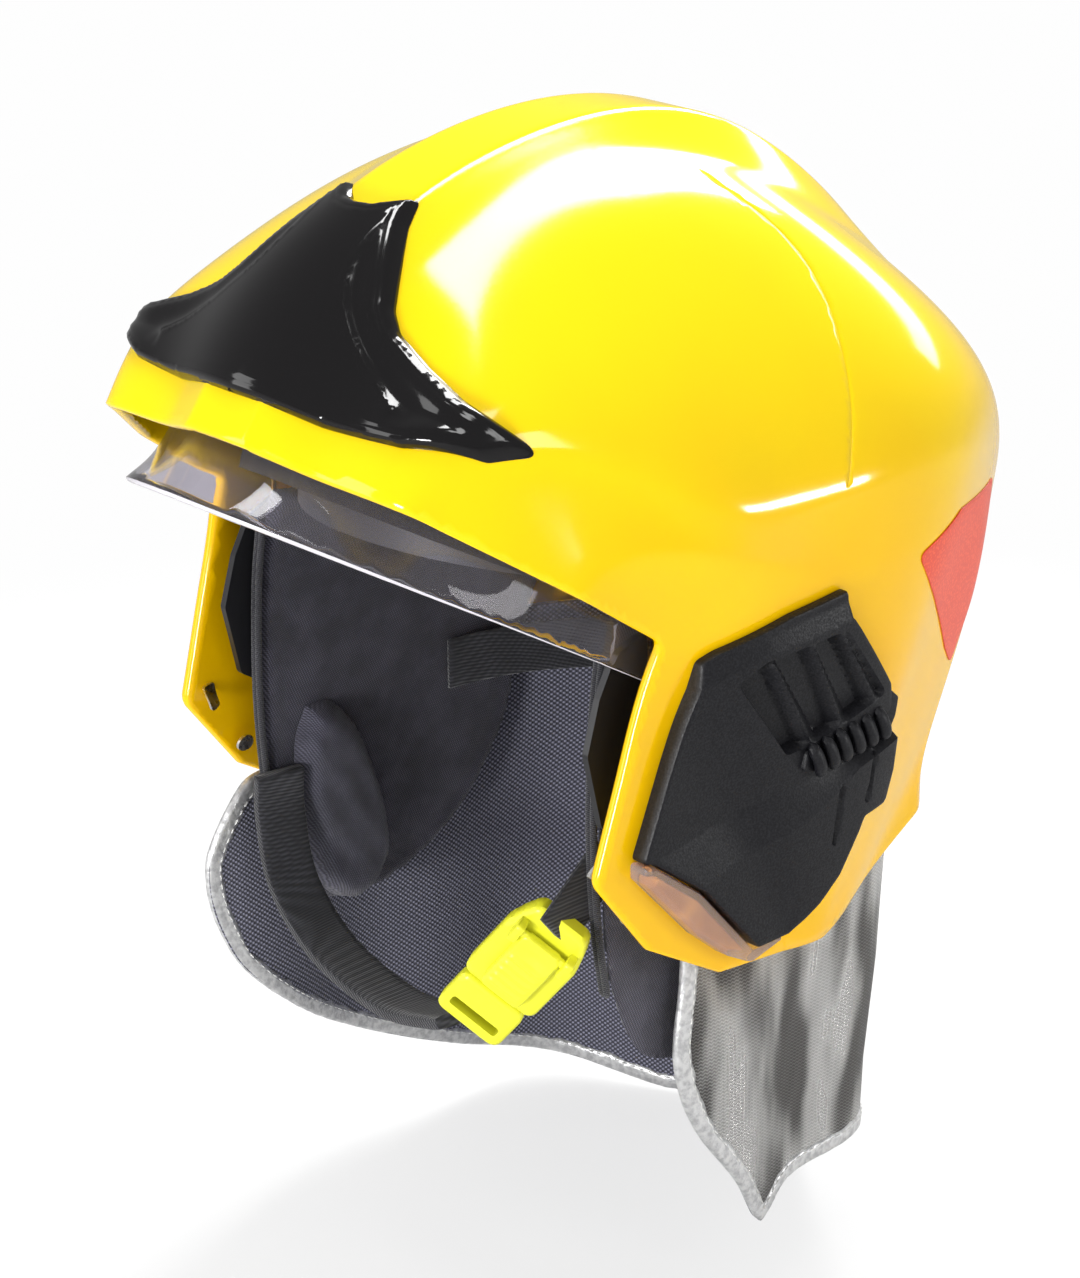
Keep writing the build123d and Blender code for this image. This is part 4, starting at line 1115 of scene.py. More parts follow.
def coverHeights(flat, border):
    d = distanceTo(border, flat)
    flange = sideOf(cover["flange"], flat)
    height = np.full(len(flat), cover["panel"])
    height -= cover["flangeDrop"] * smoothStep(-flange, 0, 7) + 0.25 * smoothStep(-flange, -0.2, 0.4)
    high, low = sideOf(cover["facetHigh"], flat), sideOf(cover["facetLow"], flat)
    share = np.where(high <= 0, 0, np.where(low >= 0, 1, high / np.maximum(high - low, 1e-6)))
    height += (cover["bulge"] - cover["panel"]) * share
    for start, end in cover["grooves"]:
        away = distanceTo([start, end], flat, False)
        height -= cover["grooveDepth"] * (1 - smoothStep(away, cover["grooveHalf"] * 0.3,
                                                         cover["grooveHalf"]))
    recess = roundedOutline(cover["recess"], cover["recessRound"], 0.8)
    inRecess = insideOutline(recess, flat)
    deep = smoothStep(distanceTo(recess, flat), 0, cover["wall"])
    bottom = np.full(len(flat), cover["floor"])
    for start, end in cover["ribs"]:
        start, end = np.array(start), np.array(end)
        run = end - start
        t = np.clip((flat - start) @ run / (run @ run), 0, 1)
        away = np.hypot(*(flat - start - t[:, None] * run).T)
        wide = cover["ribHalf"][0] + (cover["ribHalf"][1] - cover["ribHalf"][0]) * t
        crown = np.clip(1 - away / wide, 0, 1) ** 0.7
        bottom = np.maximum(bottom, cover["floor"] + cover["ribRise"] * crown * (1 - 0.25 * t))
    height = np.where(inRecess, height * (1 - deep) + np.minimum(bottom, height) * deep, height)
    return np.maximum(height - edgeDrop(d, 1.0), 0.6)


def coverPiece():
    border = roundedOutline(cover["outline"], cover["round"], 0.8)
    recess = roundedOutline(cover["recess"], cover["recessRound"], 0.8)
    ring = np.vstack([recess, recess[:1]])
    lines = [ring, *insetLines(border, (0.35, 1.0)), *insetLines(recess, (0.6, cover["wall"]))]
    for name in ("facetHigh", "facetLow", "flange"):
        line = evenSteps(np.array(cover[name], float), 0.8, False)
        keep = insideOutline(border, line) & (distanceTo(border, line) > 0.7) & ~insideOutline(recess, line)
        lines.append(line[keep & (distanceTo(recess, line) > 0.5)])
    flat, faces = filledOutline(border, cover["step"], lines=lines)
    height = coverHeights(flat, border)
    top = onSide(flat, height)
    bottom = onSide(flat, np.full(len(flat), 0.15))
    thickness = top[:, 0] - bottom[:, 0]
    sideways = np.tile((1.0, 0.0, 0.0), (len(flat), 1))
    return walled(top, towards(top, faces, 0), thickness, 0.05, 1, sideways)


coverMesh = coverPiece()
settledPair("sideCover", coverMesh, "cover_black", grainBlack, "side_cover", gap=0.005, sharp=35)
print("side covers ready", len(coverMesh[1]))

# Mask rack, lamp and sticker
rack = {
    "front": (-19, -57.4),
    "rear": (16.5, -53.6),
    "teeth": 6,
    "wide": 1.8,
    "back": 109.5,
    "face": 119,
    "bar": [(-20.5, -59.6), (-19.5, -53.4), (10, -50.4), (11.6, -44.2), (17.2, -42.6), (22.6, -47.4),
            (21.4, -53.2), (18.4, -58.4), (-8, -63.2)],
    "barRound": 1.2,
    "toothTop": 6.6,
    "toothLow": 5.2,
}


# A plate seen from the side, with a rounded front edge
def sideBlock(outline, rounding, back, front, bevel=0.6):
    border = roundedOutline(outline, rounding, 0.7)
    flat, faces = filledOutline(border, 1.4, lines=insetLines(border, (bevel * 0.4, bevel)))
    d = distanceTo(border, flat)
    top = np.column_stack([front - edgeDrop(d, bevel), flat])
    sideways = np.tile((1.0, 0.0, 0.0), (len(flat), 1))
    return walled(top, towards(top, faces, 0), top[:, 0] - back, 0.02, 1, sideways)


# A round bar along a path, with its ends drawn in
def tube(path, radii, around=12, squash=1.0, up=(1, 0, 0)):
    path, radii = np.asarray(path, float), np.broadcast_to(np.asarray(radii, float), (len(path),))
    along = np.gradient(path, axis=0)
    along /= np.linalg.norm(along, axis=1)[:, None]
    first = np.cross(along, np.asarray(up, float))
    first /= np.maximum(np.linalg.norm(first, axis=1), 1e-9)[:, None]
    second = np.cross(first, along)
    angles = np.arange(around) / around * 2 * pi
    rings = (path[:, None] + first[:, None] * (np.cos(angles)[None, :, None] * radii[:, None, None])
             + second[:, None] * (np.sin(angles)[None, :, None] * radii[:, None, None] * squash))
    points = rings.reshape(-1, 3)
    return points, barFaces(len(path), around)


def rackMesh():
    start, end = np.array(rack["front"]), np.array(rack["rear"])
    across = (end - start) / rack["teeth"]
    bar = sideBlock(rack["bar"], rack["barRound"], rack["back"], rack["face"] - 2.6)
    sets = [bar]
    for number in range(rack["teeth"]):
        y, z = start + across * (number + 0.5)
        lean = 0.4
        rise = np.linspace(-1, 1, 15)
        width = rack["wide"] * np.clip(1 - np.abs(rise) ** 5, 0.05, 1) ** 0.5
        reachOut = rack["face"] + 1.2 - 1.9 * np.abs(rise) ** 2.4 - rack["wide"]
        high = np.where(rise > 0, rise * rack["toothTop"], rise * rack["toothLow"])
        path = np.column_stack([reachOut, y - high * lean, z + high])
        sets.append(tube(path, width, 12, 1.25, (0, 1, 0)))
    return joined(*sets)


rackSet = rackMesh()
settledPair("maskRack", rackSet, "cover_black", grainBlack, "mask_rack", gap=0.002, sharp=50)
print("racks ready", len(rackSet[1]))

lamp = {
    "lens": [(-78.6, -75.8), (-74, -77.2), (-55, -91.6), (-31.6, -118.3), (-18.4, -118.2), (-18.4, -120),
             (-31.8, -123.4), (-41.4, -118.1), (-54, -107.5), (-78.4, -81)],
    "lensRound": [1.4, 1, 1, 2, 0.4, 0.4, 1.5, 3, 3, 1.6],
    "insert": [(-73.6, -80.2), (-56, -94), (-34.4, -118.6), (-41, -116), (-54, -105.4), (-73.6, -83.4)],
    "lensOut": 7.2,
    "insertOut": 6.2,
}


# A raised patch on the side of the shell
def skinBlock(outline, rounding, out, bevel, floor=0.15, step=1.2):
    border = roundedOutline(outline, rounding, 0.7)
    flat, faces = filledOutline(border, step, lines=insetLines(border, (bevel * 0.4, bevel)))
    d = distanceTo(border, flat)
    top = onSide(flat, out - edgeDrop(d, bevel))
    low = onSide(flat, np.full(len(flat), floor))
    sideways = np.tile((1.0, 0.0, 0.0), (len(flat), 1))
    return walled(top, towards(top, faces, 0), top[:, 0] - low[:, 0], 0.02, 1, sideways)


lensSet = skinBlock(lamp["lens"], lamp["lensRound"], lamp["lensOut"], 1.6)
insertSet = skinBlock(lamp["insert"], 0.8, lamp["insertOut"] - 0.6, 0.5, 0.3)
settledPair("lampLens", lensSet, "clear_lens", lampClear, "lamp_lens", gap=0.005, sharp=45)
settledPair("lampInsert", insertSet, "amber", lampAmber, "lamp_insert", gap=0.005)
print("lamps ready")

sticker = {
    "outline": [(30, -3), (60, 3), (106, -4), (104, -40), (90, -66), (78, -55), (63, -38), (43, -18)],
    "round": 3,
    "film": 0.45,
}
stickerSet = skinBlock(sticker["outline"], sticker["round"], sticker["film"], 0.2, 0.1, 1.8)
settledPair("stickerFilm", stickerSet, "reflective_orange", orangeFilm, "sticker", gap=0.002)
print("stickers ready")

# Face shield and eye visor
shield = {
    "outline": [(-190, 51), (-64, -24.5), (-52, -28), (8, -28), (12, -24), (12, -8), (6, -3), (-34, -2),
                (-62, 16), (-66, 125), (-190, 125)],
    "corner": 4,
    "wall": 2.2,
    "bolt": (0, -16),
    "boltHole": 4.6,
    "step": 2.6,
}
visor = {
    "outline": [(-190, 110), (-118, 44), (-70, 22), (-60, -4), (-57.5, -38), (-46, -38), (-44, -14),
                (-42, 30), (-54, 140), (-190, 140)],
    "corner": 4,
    "half": 88.1,
    "crown": 134,
    "shoulder": 62,
    "pull": 0.7,
    "pivot": -16,
    "wall": 2.0,
    "step": 2.4,
}


# The half of a curved clear sheet between two skins, cut by a side outline
def visorHalfMesh(outline, corner, step, holes=(), hole=0.0):
    drawn = roundedOutline(outline, corner, 0.8)
    crownAt = np.interp(np.degrees(np.arctan2(drawn[:, 1] - formAxis, -drawn[:, 0])), visorForm.angles,
                        visorForm.r[:, 0])
    inside = np.hypot(drawn[:, 0], drawn[:, 1] - formAxis) < crownAt - 0.05
    start = next(i for i in range(len(drawn)) if inside[i] and not inside[i - 1])
    order = [(start + i) % len(drawn) for i in range(len(drawn))]
    kept = [drawn[i] for i in order if inside[i]]
    track = [visorForm.place(y, z) for y, z in kept]
    track = [(track[0][0], 0)] + track + [(track[-1][0], 0)]
    low, high = track[-1][0], track[0][0]
    middle = [(a, 0) for a in np.linspace(low, high, max(3, int(abs(high - low) / 0.6)))[1:-1]]
    scaleAngle, scalePlace = 4.2, 2.2
    border = [(a * scaleAngle, p * scalePlace) for a, p in track + middle]
    openings = []
    for y, z in holes:
        turns = np.arange(18) / 18 * 2 * pi
        ring = [visorForm.place(y + hole * cos(t), z + hole * sin(t)) for t in turns]
        openings.append([(a * scaleAngle, p * scalePlace) for a, p in ring])
    flat, faces = filledOutline(border, step, openings)
    points = visorForm.at(flat[:, 0] / scaleAngle, flat[:, 1] / scalePlace)
    points[np.abs(points[:, 0]) < 0.02, 0] = 0
    return points, faces


def archSheet(name, facts, inset, holes, hole):
    half, faces = visorHalfMesh(facts["outline"], facts["corner"], facts["step"], holes, hole)
    points, faces = wholeFromHalf(half, faces)
    normals = pointNormals(points, faces)
    if np.mean(normals[:, 2]) < 0:
        faces, normals = faces[:, ::-1], -normals
    points = points - normals * inset
    return newPiece(name, *walled(points, faces, facts["wall"], 0.3, 2, normals), body=None)


shieldPiece = archSheet("faceShield", shield, 0, [shield["bolt"]], shield["boltHole"])
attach(shieldPiece, "face_shield")
clearPlastic.on(shieldPiece)
shieldPiece.data.materials.append(clearEdge.material)
for polygon in shieldPiece.data.polygons:
    if len(polygon.vertices) == 4:
        polygon.material_index = 1
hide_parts("face_shield")


# The bowl turned about the pivots, cut to its outline seen from the side
def domeSheet(facts):
    side = straight((facts["half"], 20), (facts["half"], facts["shoulder"]), 18)
    top = softCurve((facts["half"], facts["shoulder"]), (0, facts["crown"]), 90, 180, facts["pull"], 60)[1:]
    profile = np.vstack([side, top])[::-1]
    runs = np.concatenate([[0], np.cumsum(np.hypot(*np.diff(profile, axis=0).T))])
    drawn = roundedOutline(facts["outline"], facts["corner"], 0.8)
    rho = np.hypot(drawn[:, 0], drawn[:, 1] - facts["pivot"])
    inside = rho < facts["crown"] - 0.05
    start = next(i for i in range(len(drawn)) if inside[i] and not inside[i - 1])
    kept = [drawn[(start + i) % len(drawn)] for i in range(len(drawn)) if inside[(start + i) % len(drawn)]]
    track = []
    for y, z in kept:
        turn = degrees(atan2(z - facts["pivot"], -y))
        track.append((turn, float(np.interp(-hypot(y, z - facts["pivot"]), -profile[:, 1], runs))))
    track = [(track[0][0], 0)] + track + [(track[-1][0], 0)]
    middle = [(a, 0) for a in np.linspace(track[-1][0], track[0][0], 40)[1:-1]]
    scale = 1.9
    flat, faces = filledOutline([(a * scale, run) for a, run in track + middle], facts["step"])
    x = np.interp(flat[:, 1], runs, profile[:, 0])
    rho = np.interp(flat[:, 1], runs, profile[:, 1])
    turn = np.radians(flat[:, 0] / scale)
    half = np.stack([x, -rho * np.cos(turn), facts["pivot"] + rho * np.sin(turn)], 1)
    half[np.abs(half[:, 0]) < 0.02, 0] = 0
    points, faces = wholeFromHalf(half, faces)
    return newPiece("eyeVisor", *walled(points, towards(points, faces, 2), facts["wall"], 0.3, 2),
                    body=None)


visorPiece = domeSheet(visor)
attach(visorPiece, "eye_visor")
amberVisor.on(visorPiece)
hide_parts("eye_visor")
print("visors ready", len(shieldPiece.data.polygons), len(visorPiece.data.polygons))

# Padded liner inside the shell
panel = {
    "front": [(-66, -8), (-71, -40), (-72, -75), (-70, -107), (-66, -132), (-52, -158)],
    "back": [(-22, -164), (12, -150), (36, -122), (46, -92), (57, -62), (57, -34), (52, -28)],
    "inner": 77.0,
    "outer": 80.6,
    "seams": [6.5, 9.0],
    "seamDepth": 0.35,
    "step": 1.9,
}
piping = {"top": (-68.4, -18), "gap": 2.3, "middle": 78.8, "radius": 1.15, "apart": 0.95}
earPad = {
    "outline": [(-56, -86), (-44, -88), (-33, -104), (-23, -138), (-26, -154), (-38, -162), (-52, -152),
                (-60, -120), (-61, -98)],
    "base": 76.7,
    "thick": 9.6,
    "edge": 3.4,
    "seam": 2.6,
    "step": 1.5,
}


# A pad lying against a side plane: heights rise from it towards the head
def padSide(outline, base, heights, low, step):
    flat, faces = filledOutline(outline, step)
    rise = heights(flat, distanceTo(outline, flat))
    top = np.column_stack([base - rise, flat])
    inward = np.tile((-1.0, 0.0, 0.0), (len(flat), 1))
    return walled(top, towards(top, faces, 0, -1), rise + low, 0.05, 2, inward)


# A cushion's section: round at its border, softly crowned inside
def pillowed(d, half, edge):
    t = np.clip(d / edge, 0, 1)
    return np.sqrt(np.clip(1 - (1 - t) ** 2, 0, 1)) * 0.8 + 0.2 * np.clip(d / half, 0, 1) ** 0.7


panelLine = np.vstack([curveThrough(panel["front"] + panel["back"][:-1], 1.2), [panel["back"][-1]]])
panelOutline = roundedOutline(panelLine[::4], [3] + [0.1] * (len(panelLine[::4]) - 2) + [3], 1.2)


def panelHeights(flat, d):
    rise = (panel["outer"] - panel["inner"] - 0.2) * pillowed(d, 30, 2.2)
    for seam in panel["seams"]:
        rise = rise - panel["seamDepth"] * np.exp(-((d - seam) / 0.7) ** 2)
    return rise + 0.25 * np.sin(flat[:, 1] / 9) * np.clip(d / 20, 0, 1) * 0.5


panelSet = padSide(panelOutline, panel["outer"] - 0.1, panelHeights, 0.05, panel["step"])
earLine = np.array(earPad["outline"], float)
earLoop = curveThrough(np.vstack([earLine, earLine[:1]]), 0.9)[:-1]


def earHeights(flat, d):
    rise = earPad["thick"] * pillowed(d, 17, earPad["edge"] * 2)
    rise -= 0.9 * np.exp(-((d - earPad["seam"]) / 0.7) ** 2)
    dent = np.exp(-(((flat[:, 0] + 44) / 9) ** 2 + ((flat[:, 1] + 92) / 5) ** 2))
    return np.maximum(rise - 1.6 * dent + 0.25 * np.sin(flat[:, 0] * 0.5 + flat[:, 1] * 0.33), 0.3)


earSet = padSide(earLoop, earPad["base"], earHeights, 0.0, earPad["step"])
pipePath = curveThrough([(y - piping["gap"], z) for y, z in [piping["top"], *panel["front"][1:-1]]], 1.5)
pipes = []
for lean in (-1, 1):
    line = np.column_stack([np.full(len(pipePath), piping["middle"] + lean * piping["apart"]), pipePath])
    ends = np.clip(np.minimum(np.arange(len(line)), np.arange(len(line))[::-1]) / 1.5 + 0.25, 0, 1)
    pipes.append(tube(line, piping["radius"] * ends ** 0.5, 12, 1.0, (1, 0.2, 0)))
pipeSet = joined(*pipes)
settledPair("linerPanel", panelSet, "liner_cloth", linerCloth, "side_liner", gap=0.005, soft=0.5)
settledPair("earPad", earSet, "pad_cloth", padCloth, "ear_pad", gap=0.005, soft=0.8)
settledPair("linerPiping", pipeSet, "piping_cloth", pipingCloth, "liner_piping")
print("side liners ready")

# Cloth cap, brow pad and webbing
head = {
    "half": (80, 104, 88),
    "middle": 2,
    "capEdge": [(-190, 53), (190, -27)],
    "capGap": 0.5,
    "capWall": 3.0,
    "seams": 6,
    "browHalf": 49,
    "browTop": [(-190, 45.5), (-40, 15.5)],
    "browLow": [(-190, 28.5), (-40, -3.5)],
    "browWall": 5.8,
    "lifts": (-1.2, 1.5),
}


# A point of the head form: turn about the upright, lift from the level plane
def headPoint(turn, lift, shrink):
    a, b, c = head["half"]
    shrink = np.asarray(shrink, float)
    return np.stack([
        (a - shrink) * np.cos(lift) * np.sin(turn),
        head["middle"] - (b - shrink) * np.cos(lift) * np.cos(turn),
        (c - shrink) * np.sin(lift),
    ], -1)


# The lift where the head form meets a sloping plane
def liftAt(turn, line, shrink):
    (y0, z0), (y1, z1) = line
    slope = (z1 - z0) / (y1 - y0)

    def under(lift):
        point = headPoint(turn, lift, shrink)
        return point[:, 2] <= z0 + slope * (point[:, 1] - y0)

    return edgeOf(under, *(np.full(len(turn), lift) for lift in head["lifts"]), 30)


def gridFaces(rows, columns, closed):
    faces = []
    for i in range(rows - 1):
        for j in range(columns if closed else columns - 1):
            k = (j + 1) % columns
            faces += [(i * columns + j, i * columns + k, (i + 1) * columns + k),
                      (i * columns + j, (i + 1) * columns + k, (i + 1) * columns + j)]
    return np.array(faces)


turns = np.arange(120) / 120 * 2 * pi
bottom = liftAt(turns, head["capEdge"], head["capGap"])
rows = []
for share in np.linspace(0, 0.985, 44):
    lift = bottom + (pi / 2 - bottom) * share
    seamDepth = 0.5 * np.abs(np.cos(turns * head["seams"] / 2)) ** 40 * (1 - share)
    rows.append(headPoint(turns, lift, head["capGap"] + head["capWall"] - seamDepth))
capPoints = np.vstack(rows)
capFaces = gridFaces(len(rows), len(turns), True)
top = len(capPoints)
capPoints = np.vstack([capPoints, headPoint(np.array([0.0]), np.array([pi / 2]),
                                            head["capGap"] + head["capWall"])])
last = (len(rows) - 1) * len(turns)
capFaces = np.vstack([capFaces, [(last + j, last + (j + 1) % len(turns), top) for j in range(len(turns))]])
capFaces = towards(capPoints, capFaces, 2, -1)
capPiece = newPiece("crownCap", *walled(capPoints, capFaces, head["capWall"], 0.1, 1), slot="liner_cloth")
settled(capPiece, linerCloth, "crown_cap", soft=0.4)

limit = np.arcsin(head["browHalf"] / head["half"][0])
turns = np.linspace(-limit, limit, 60)
topLift, lowLift = (liftAt(turns, head[key], 8) for key in ("browTop", "browLow"))
shares = np.linspace(0, 1, 15)
browRows = []
for share in shares:
    lift = lowLift + (topLift - lowLift) * share
    border = np.minimum(np.minimum(share, 1 - share) * 20, (limit - np.abs(turns)) * 75)
    puff = head["browWall"] * pillowed(np.maximum(border, 0.02), 12, 5)
    browRows.append(headPoint(turns, lift, 4.0 + puff))
browPoints, browFaces = np.vstack(browRows), gridFaces(len(shares), len(turns), False)
browFaces = towards(browPoints, browFaces, 1)
backs = np.vstack([headPoint(turns, lowLift + (topLift - lowLift) * share, 3.9) for share in shares])
away = backs - browPoints
depth = np.linalg.norm(away, axis=1)
browPiece = newPiece("browPad", *walled(browPoints, browFaces, depth, 0.05, 1,
                                        -away / np.maximum(depth, 1e-6)[:, None]), slot="pad_cloth")
settled(browPiece, padCloth, "brow_pad", soft=0.7)


# A flat strap: points along its middle, with its width and thickness
def ribbon(middle, across, outward, width, thick, edge=0.5):
    middle, across, outward = (np.asarray(v, float) for v in (middle, across, outward))
    section = []
    for k, (u, v) in enumerate([(-1, -1), (-1, 1), (1, 1), (1, -1)]):
        next_u, next_v = [(-1, -1), (-1, 1), (1, 1), (1, -1)][(k + 1) % 4]
        for t in (0.04, 0.35, 0.65, 0.96) if u == next_u else np.linspace(0.02, 0.98, 9):
            section.append((u + (next_u - u) * t, v + (next_v - v) * t))
    section = np.array(section)
    rounding = 1 - 0.25 * np.clip(np.abs(section[:, 0]) - 0.9, 0, 1) * 10 * (np.abs(section[:, 1]) > 0.9)
    rings = (middle[:, None] + across[:, None] * (section[:, 0] * width / 2)[None, :, None]
             + outward[:, None] * (section[:, 1] * rounding * thick / 2)[None, :, None])
    return rings.reshape(-1, 3), barFaces(len(middle), len(section))


web = {"half": (76.0, 83.2), "height": 18, "top": -80, "front": 8, "wall": 1.5}
angles = np.linspace(-1.47, 1.47, 90)
webMiddle = np.stack([web["half"][0] * np.sin(angles), web["half"][1] * np.cos(angles),
                      np.full(len(angles), web["top"] - web["height"] / 2)], 1)
webOut = np.stack([np.sin(angles), np.cos(angles), np.zeros(len(angles))], 1)
webAcross = np.tile((0.0, 0.0, 1.0), (len(angles), 1))
webPiece = newPiece("napeWebbing", *ribbon(webMiddle, webAcross, webOut, web["height"], web["wall"]),
                    slot="strap_black")
settled(outwardFaces(webPiece), strapCloth, "nape_webbing")
print("cap, brow pad and webbing ready")

# Chin strap and buckle
strap = {
    "turn": 10,
    "originY": -84,
    "line": [(-74, -104), (-74, -120), (-66, -142), (-40, -156), (0, -158), (32, -149), (41, -144)],
    "wall": 4.2,
    "width": 17.6,
    "shortLine": [(-87, -105.2), (-64, -86.3)],
    "shortWall": 1.7,
    "shortAt": 75.9,
}
turn = radians(strap["turn"])
strapX = np.array((cos(turn), -sin(turn), 0))
strapOut = np.array((-sin(turn), -cos(turn), 0))
strapUp = np.array((0.0, 0.0, 1.0))
strapFlat = curveThrough(strap["line"], 1.6)
strapFlat = strapFlat[:-3]
strapMiddle = np.array([0, strap["originY"], 0]) + strapFlat[:, :1] * strapX + strapFlat[:, 1:] * strapUp
along = np.gradient(strapFlat, axis=0)
along /= np.hypot(*along.T)[:, None]
sideways = np.stack([-along[:, 1], along[:, 0]], 1)
strapNormal = sideways[:, :1] * strapX + sideways[:, 1:] * strapUp
strapSet = ribbon(strapMiddle, np.tile(strapOut, (len(strapMiddle), 1)), strapNormal, strap["width"],
                  strap["wall"])
strapPiece = newPiece("chinStrapLong", *strapSet, slot="strap_black")
settled(outwardFaces(strapPiece), strapCloth, "chin_strap_right")

start, end = (np.array(p, float) for p in strap["shortLine"])
shortFlat = np.linspace(start, end, 16)
shortMiddle = np.column_stack([np.full(len(shortFlat), strap["shortAt"]), shortFlat])
run = (end - start) / np.hypot(*(end - start))
shortAcross = np.tile((0.0, -run[1], run[0]), (len(shortFlat), 1))
shortPiece = newPiece("chinStrapShort", *ribbon(shortMiddle, shortAcross,
                                                np.tile((1.0, 0, 0), (len(shortFlat), 1)),
                                                17.6, strap["shortWall"]), slot="strap_black")
settled(outwardFaces(shortPiece), strapCloth, "chin_strap_left")

buckle = {
    "at": (65, -86, -116),
    "along": (0.6, 0.19, 0.78),
    "out": (0.455, -0.848, -0.143),
    "body": [(-19, -13.4), (-19, 13.4), (6, 13.4), (13, 11.5), (19, 9), (19, -9), (13, -11.5), (6, -13.4)],
    "bodyRound": [4, 4, 8, 8, 4, 4, 8, 8],
    "bodyHalf": 3.5,
    "lever": [(-15.5, -7.5), (-15.5, 7.5), (10.5, 7.5), (10.5, -7.5)],
    "leverLow": 4.3,
    "leverTop": 7.9,
    "ribs": (-11.5, -8.5, -5.5, -2.5, 0.5),
    "pinAt": (9, 6.1),
    "pin": 1.4,
    "lug": (7, 3, 9.1),
    "lugAcross": 9.4,
    "tongue": [(-37.5, -12), (-37.5, 12), (-19.5, 12), (-19.5, -12)],
    "slot": [(-33.3, -9), (-33.3, 9), (-29.7, 9), (-29.7, -9)],
    "tongueHalf": 3.0,
    "prong": [(-20, -6), (-20, 6), (-9.2, 6), (-9.2, -6)],
    "prongHalf": 1.5,
}
buckleU = np.array(buckle["along"]) / np.linalg.norm(buckle["along"])
buckleW = np.array(buckle["out"]) / np.linalg.norm(buckle["out"])
buckleV = np.cross(buckleW, buckleU)
buckleU = np.cross(buckleV, buckleW)


def inBuckle(mesh):
    points, faces = mesh
    points = np.asarray(points, float)
    placed = (np.array(buckle["at"], float) + points[:, :1] * buckleU + points[:, 1:2] * buckleV
              + points[:, 2:] * buckleW)
    return placed, faces


# A flat part with rounded edges on both faces
def slab(outline, rounding, low, high, bevel=0.8, holes=(), extra=None, step=1.3):
    border = roundedOutline(outline, rounding, 0.6)
    openings = [roundedOutline(hole, 1.2, 0.6) for hole in holes]
    flat, faces = filledOutline(border, step, openings)
    d = distanceTo(border, flat)
    for opening in openings:
        d = np.minimum(d, distanceTo(opening, flat) + bevel * 0.5)
    top = high - edgeDrop(d, bevel)
    if extra is not None:
        top = top + extra(flat, d)
    bottomAt = low + edgeDrop(d, bevel)
    points = np.column_stack([flat, top])
    upward = np.tile((0.0, 0.0, 1.0), (len(flat), 1))
    return walled(points, towards(points, faces, 2), top - bottomAt, 0.02, 1, upward)


def leverRelief(flat, d):
    ribs = sum(np.exp(-((flat[:, 0] - at) / 0.75) ** 4) for at in buckle["ribs"])
    inside = smoothStep(d, 1.2, 2.2)
    scoop = 0.9 * np.exp(-((flat[:, 0] - 5.0) / 3.2) ** 2 - (flat[:, 1] / 5) ** 2)
    return 0.65 * ribs * inside - scoop


bodySet = slab(buckle["body"], buckle["bodyRound"], -buckle["bodyHalf"], buckle["bodyHalf"], 1.1)
lugSets = []
pinU, pinW = buckle["pinAt"]
for lean in (-1, 1):
    v = lean * buckle["lugAcross"]
    outline = [(pinU - 3.4, v - 1.4), (pinU - 3.4, v + 1.4), (pinU + 3.4, v + 1.4), (pinU + 3.4, v - 1.4)]
    lugSets.append(slab(outline, 0.6, 3.0, buckle["lug"][2], 0.5, step=0.8))
bodyPiece = newPiece("buckleBody", *inBuckle(joined(bodySet, *lugSets)), slot="buckle_lime")
leverSet = slab(buckle["lever"], 3, buckle["leverLow"], buckle["leverTop"], 0.9, extra=leverRelief,
                step=0.75)
pinLine = np.column_stack([np.full(9, pinU), np.linspace(-10.6, 10.6, 9), np.full(9, pinW)])
leverSet = joined(leverSet, tube(pinLine, buckle["pin"], 16, 1.0, (0, 0, 1)))
leverPiece = newPiece("buckleLever", *inBuckle(leverSet), body="buckle_lever", slot="buckle_lime")
tongueSet = slab(buckle["tongue"], 4, -buckle["tongueHalf"], buckle["tongueHalf"], 1.1,
                 holes=[buckle["slot"]])
prongSet = slab(buckle["prong"], 0.8, -buckle["prongHalf"], buckle["prongHalf"], 0.4)
tonguePiece = newPiece("buckleTongue", *inBuckle(joined(tongueSet, prongSet)), slot="buckle_lime")
for piece, node in ((bodyPiece, "buckle_body"), (leverPiece, "buckle_lever"),
                    (tonguePiece, "buckle_tongue")):
    settled(piece, limePlastic, node, gap=0.002, sharp=50)
print("straps and buckle ready")

# Neck curtain
curtain = {
    "levels": [(-97, 90.5, 110.5, 0), (-130, 89.5, 108.2, 1), (-165, 89.5, 99, 3), (-200, 89, 88, 4),
               (-290, 89, 86, 2)],
    "turnY": 12,
    "front": -105,
    "rearShare": 0.52,
    "folds": 3,
    "wall": 1.1,
    "gap": 0.15,
    "hem": 5.4,
    "left": [(-44, -132), (-46, -160), (-38, -186), (-20, -212), (-9, -230), (-4, -231), (14, -224),
             (60, -227), (72, -238), (82, -256), (88, -264)],
    "right": [(-48, -80), (-56, -107), (-74, -113), (-88, -131), (-90, -146), (-85, -165), (-75, -183),
              (-50, -206), (-20, -226), (12, -241), (40, -252), (62, -259), (80, -265)],
    "top": -81,
    "stepAcross": 2.6,
    "wrinkle": 0.35,
}
levelTable = np.array(curtain["levels"][::-1], float)


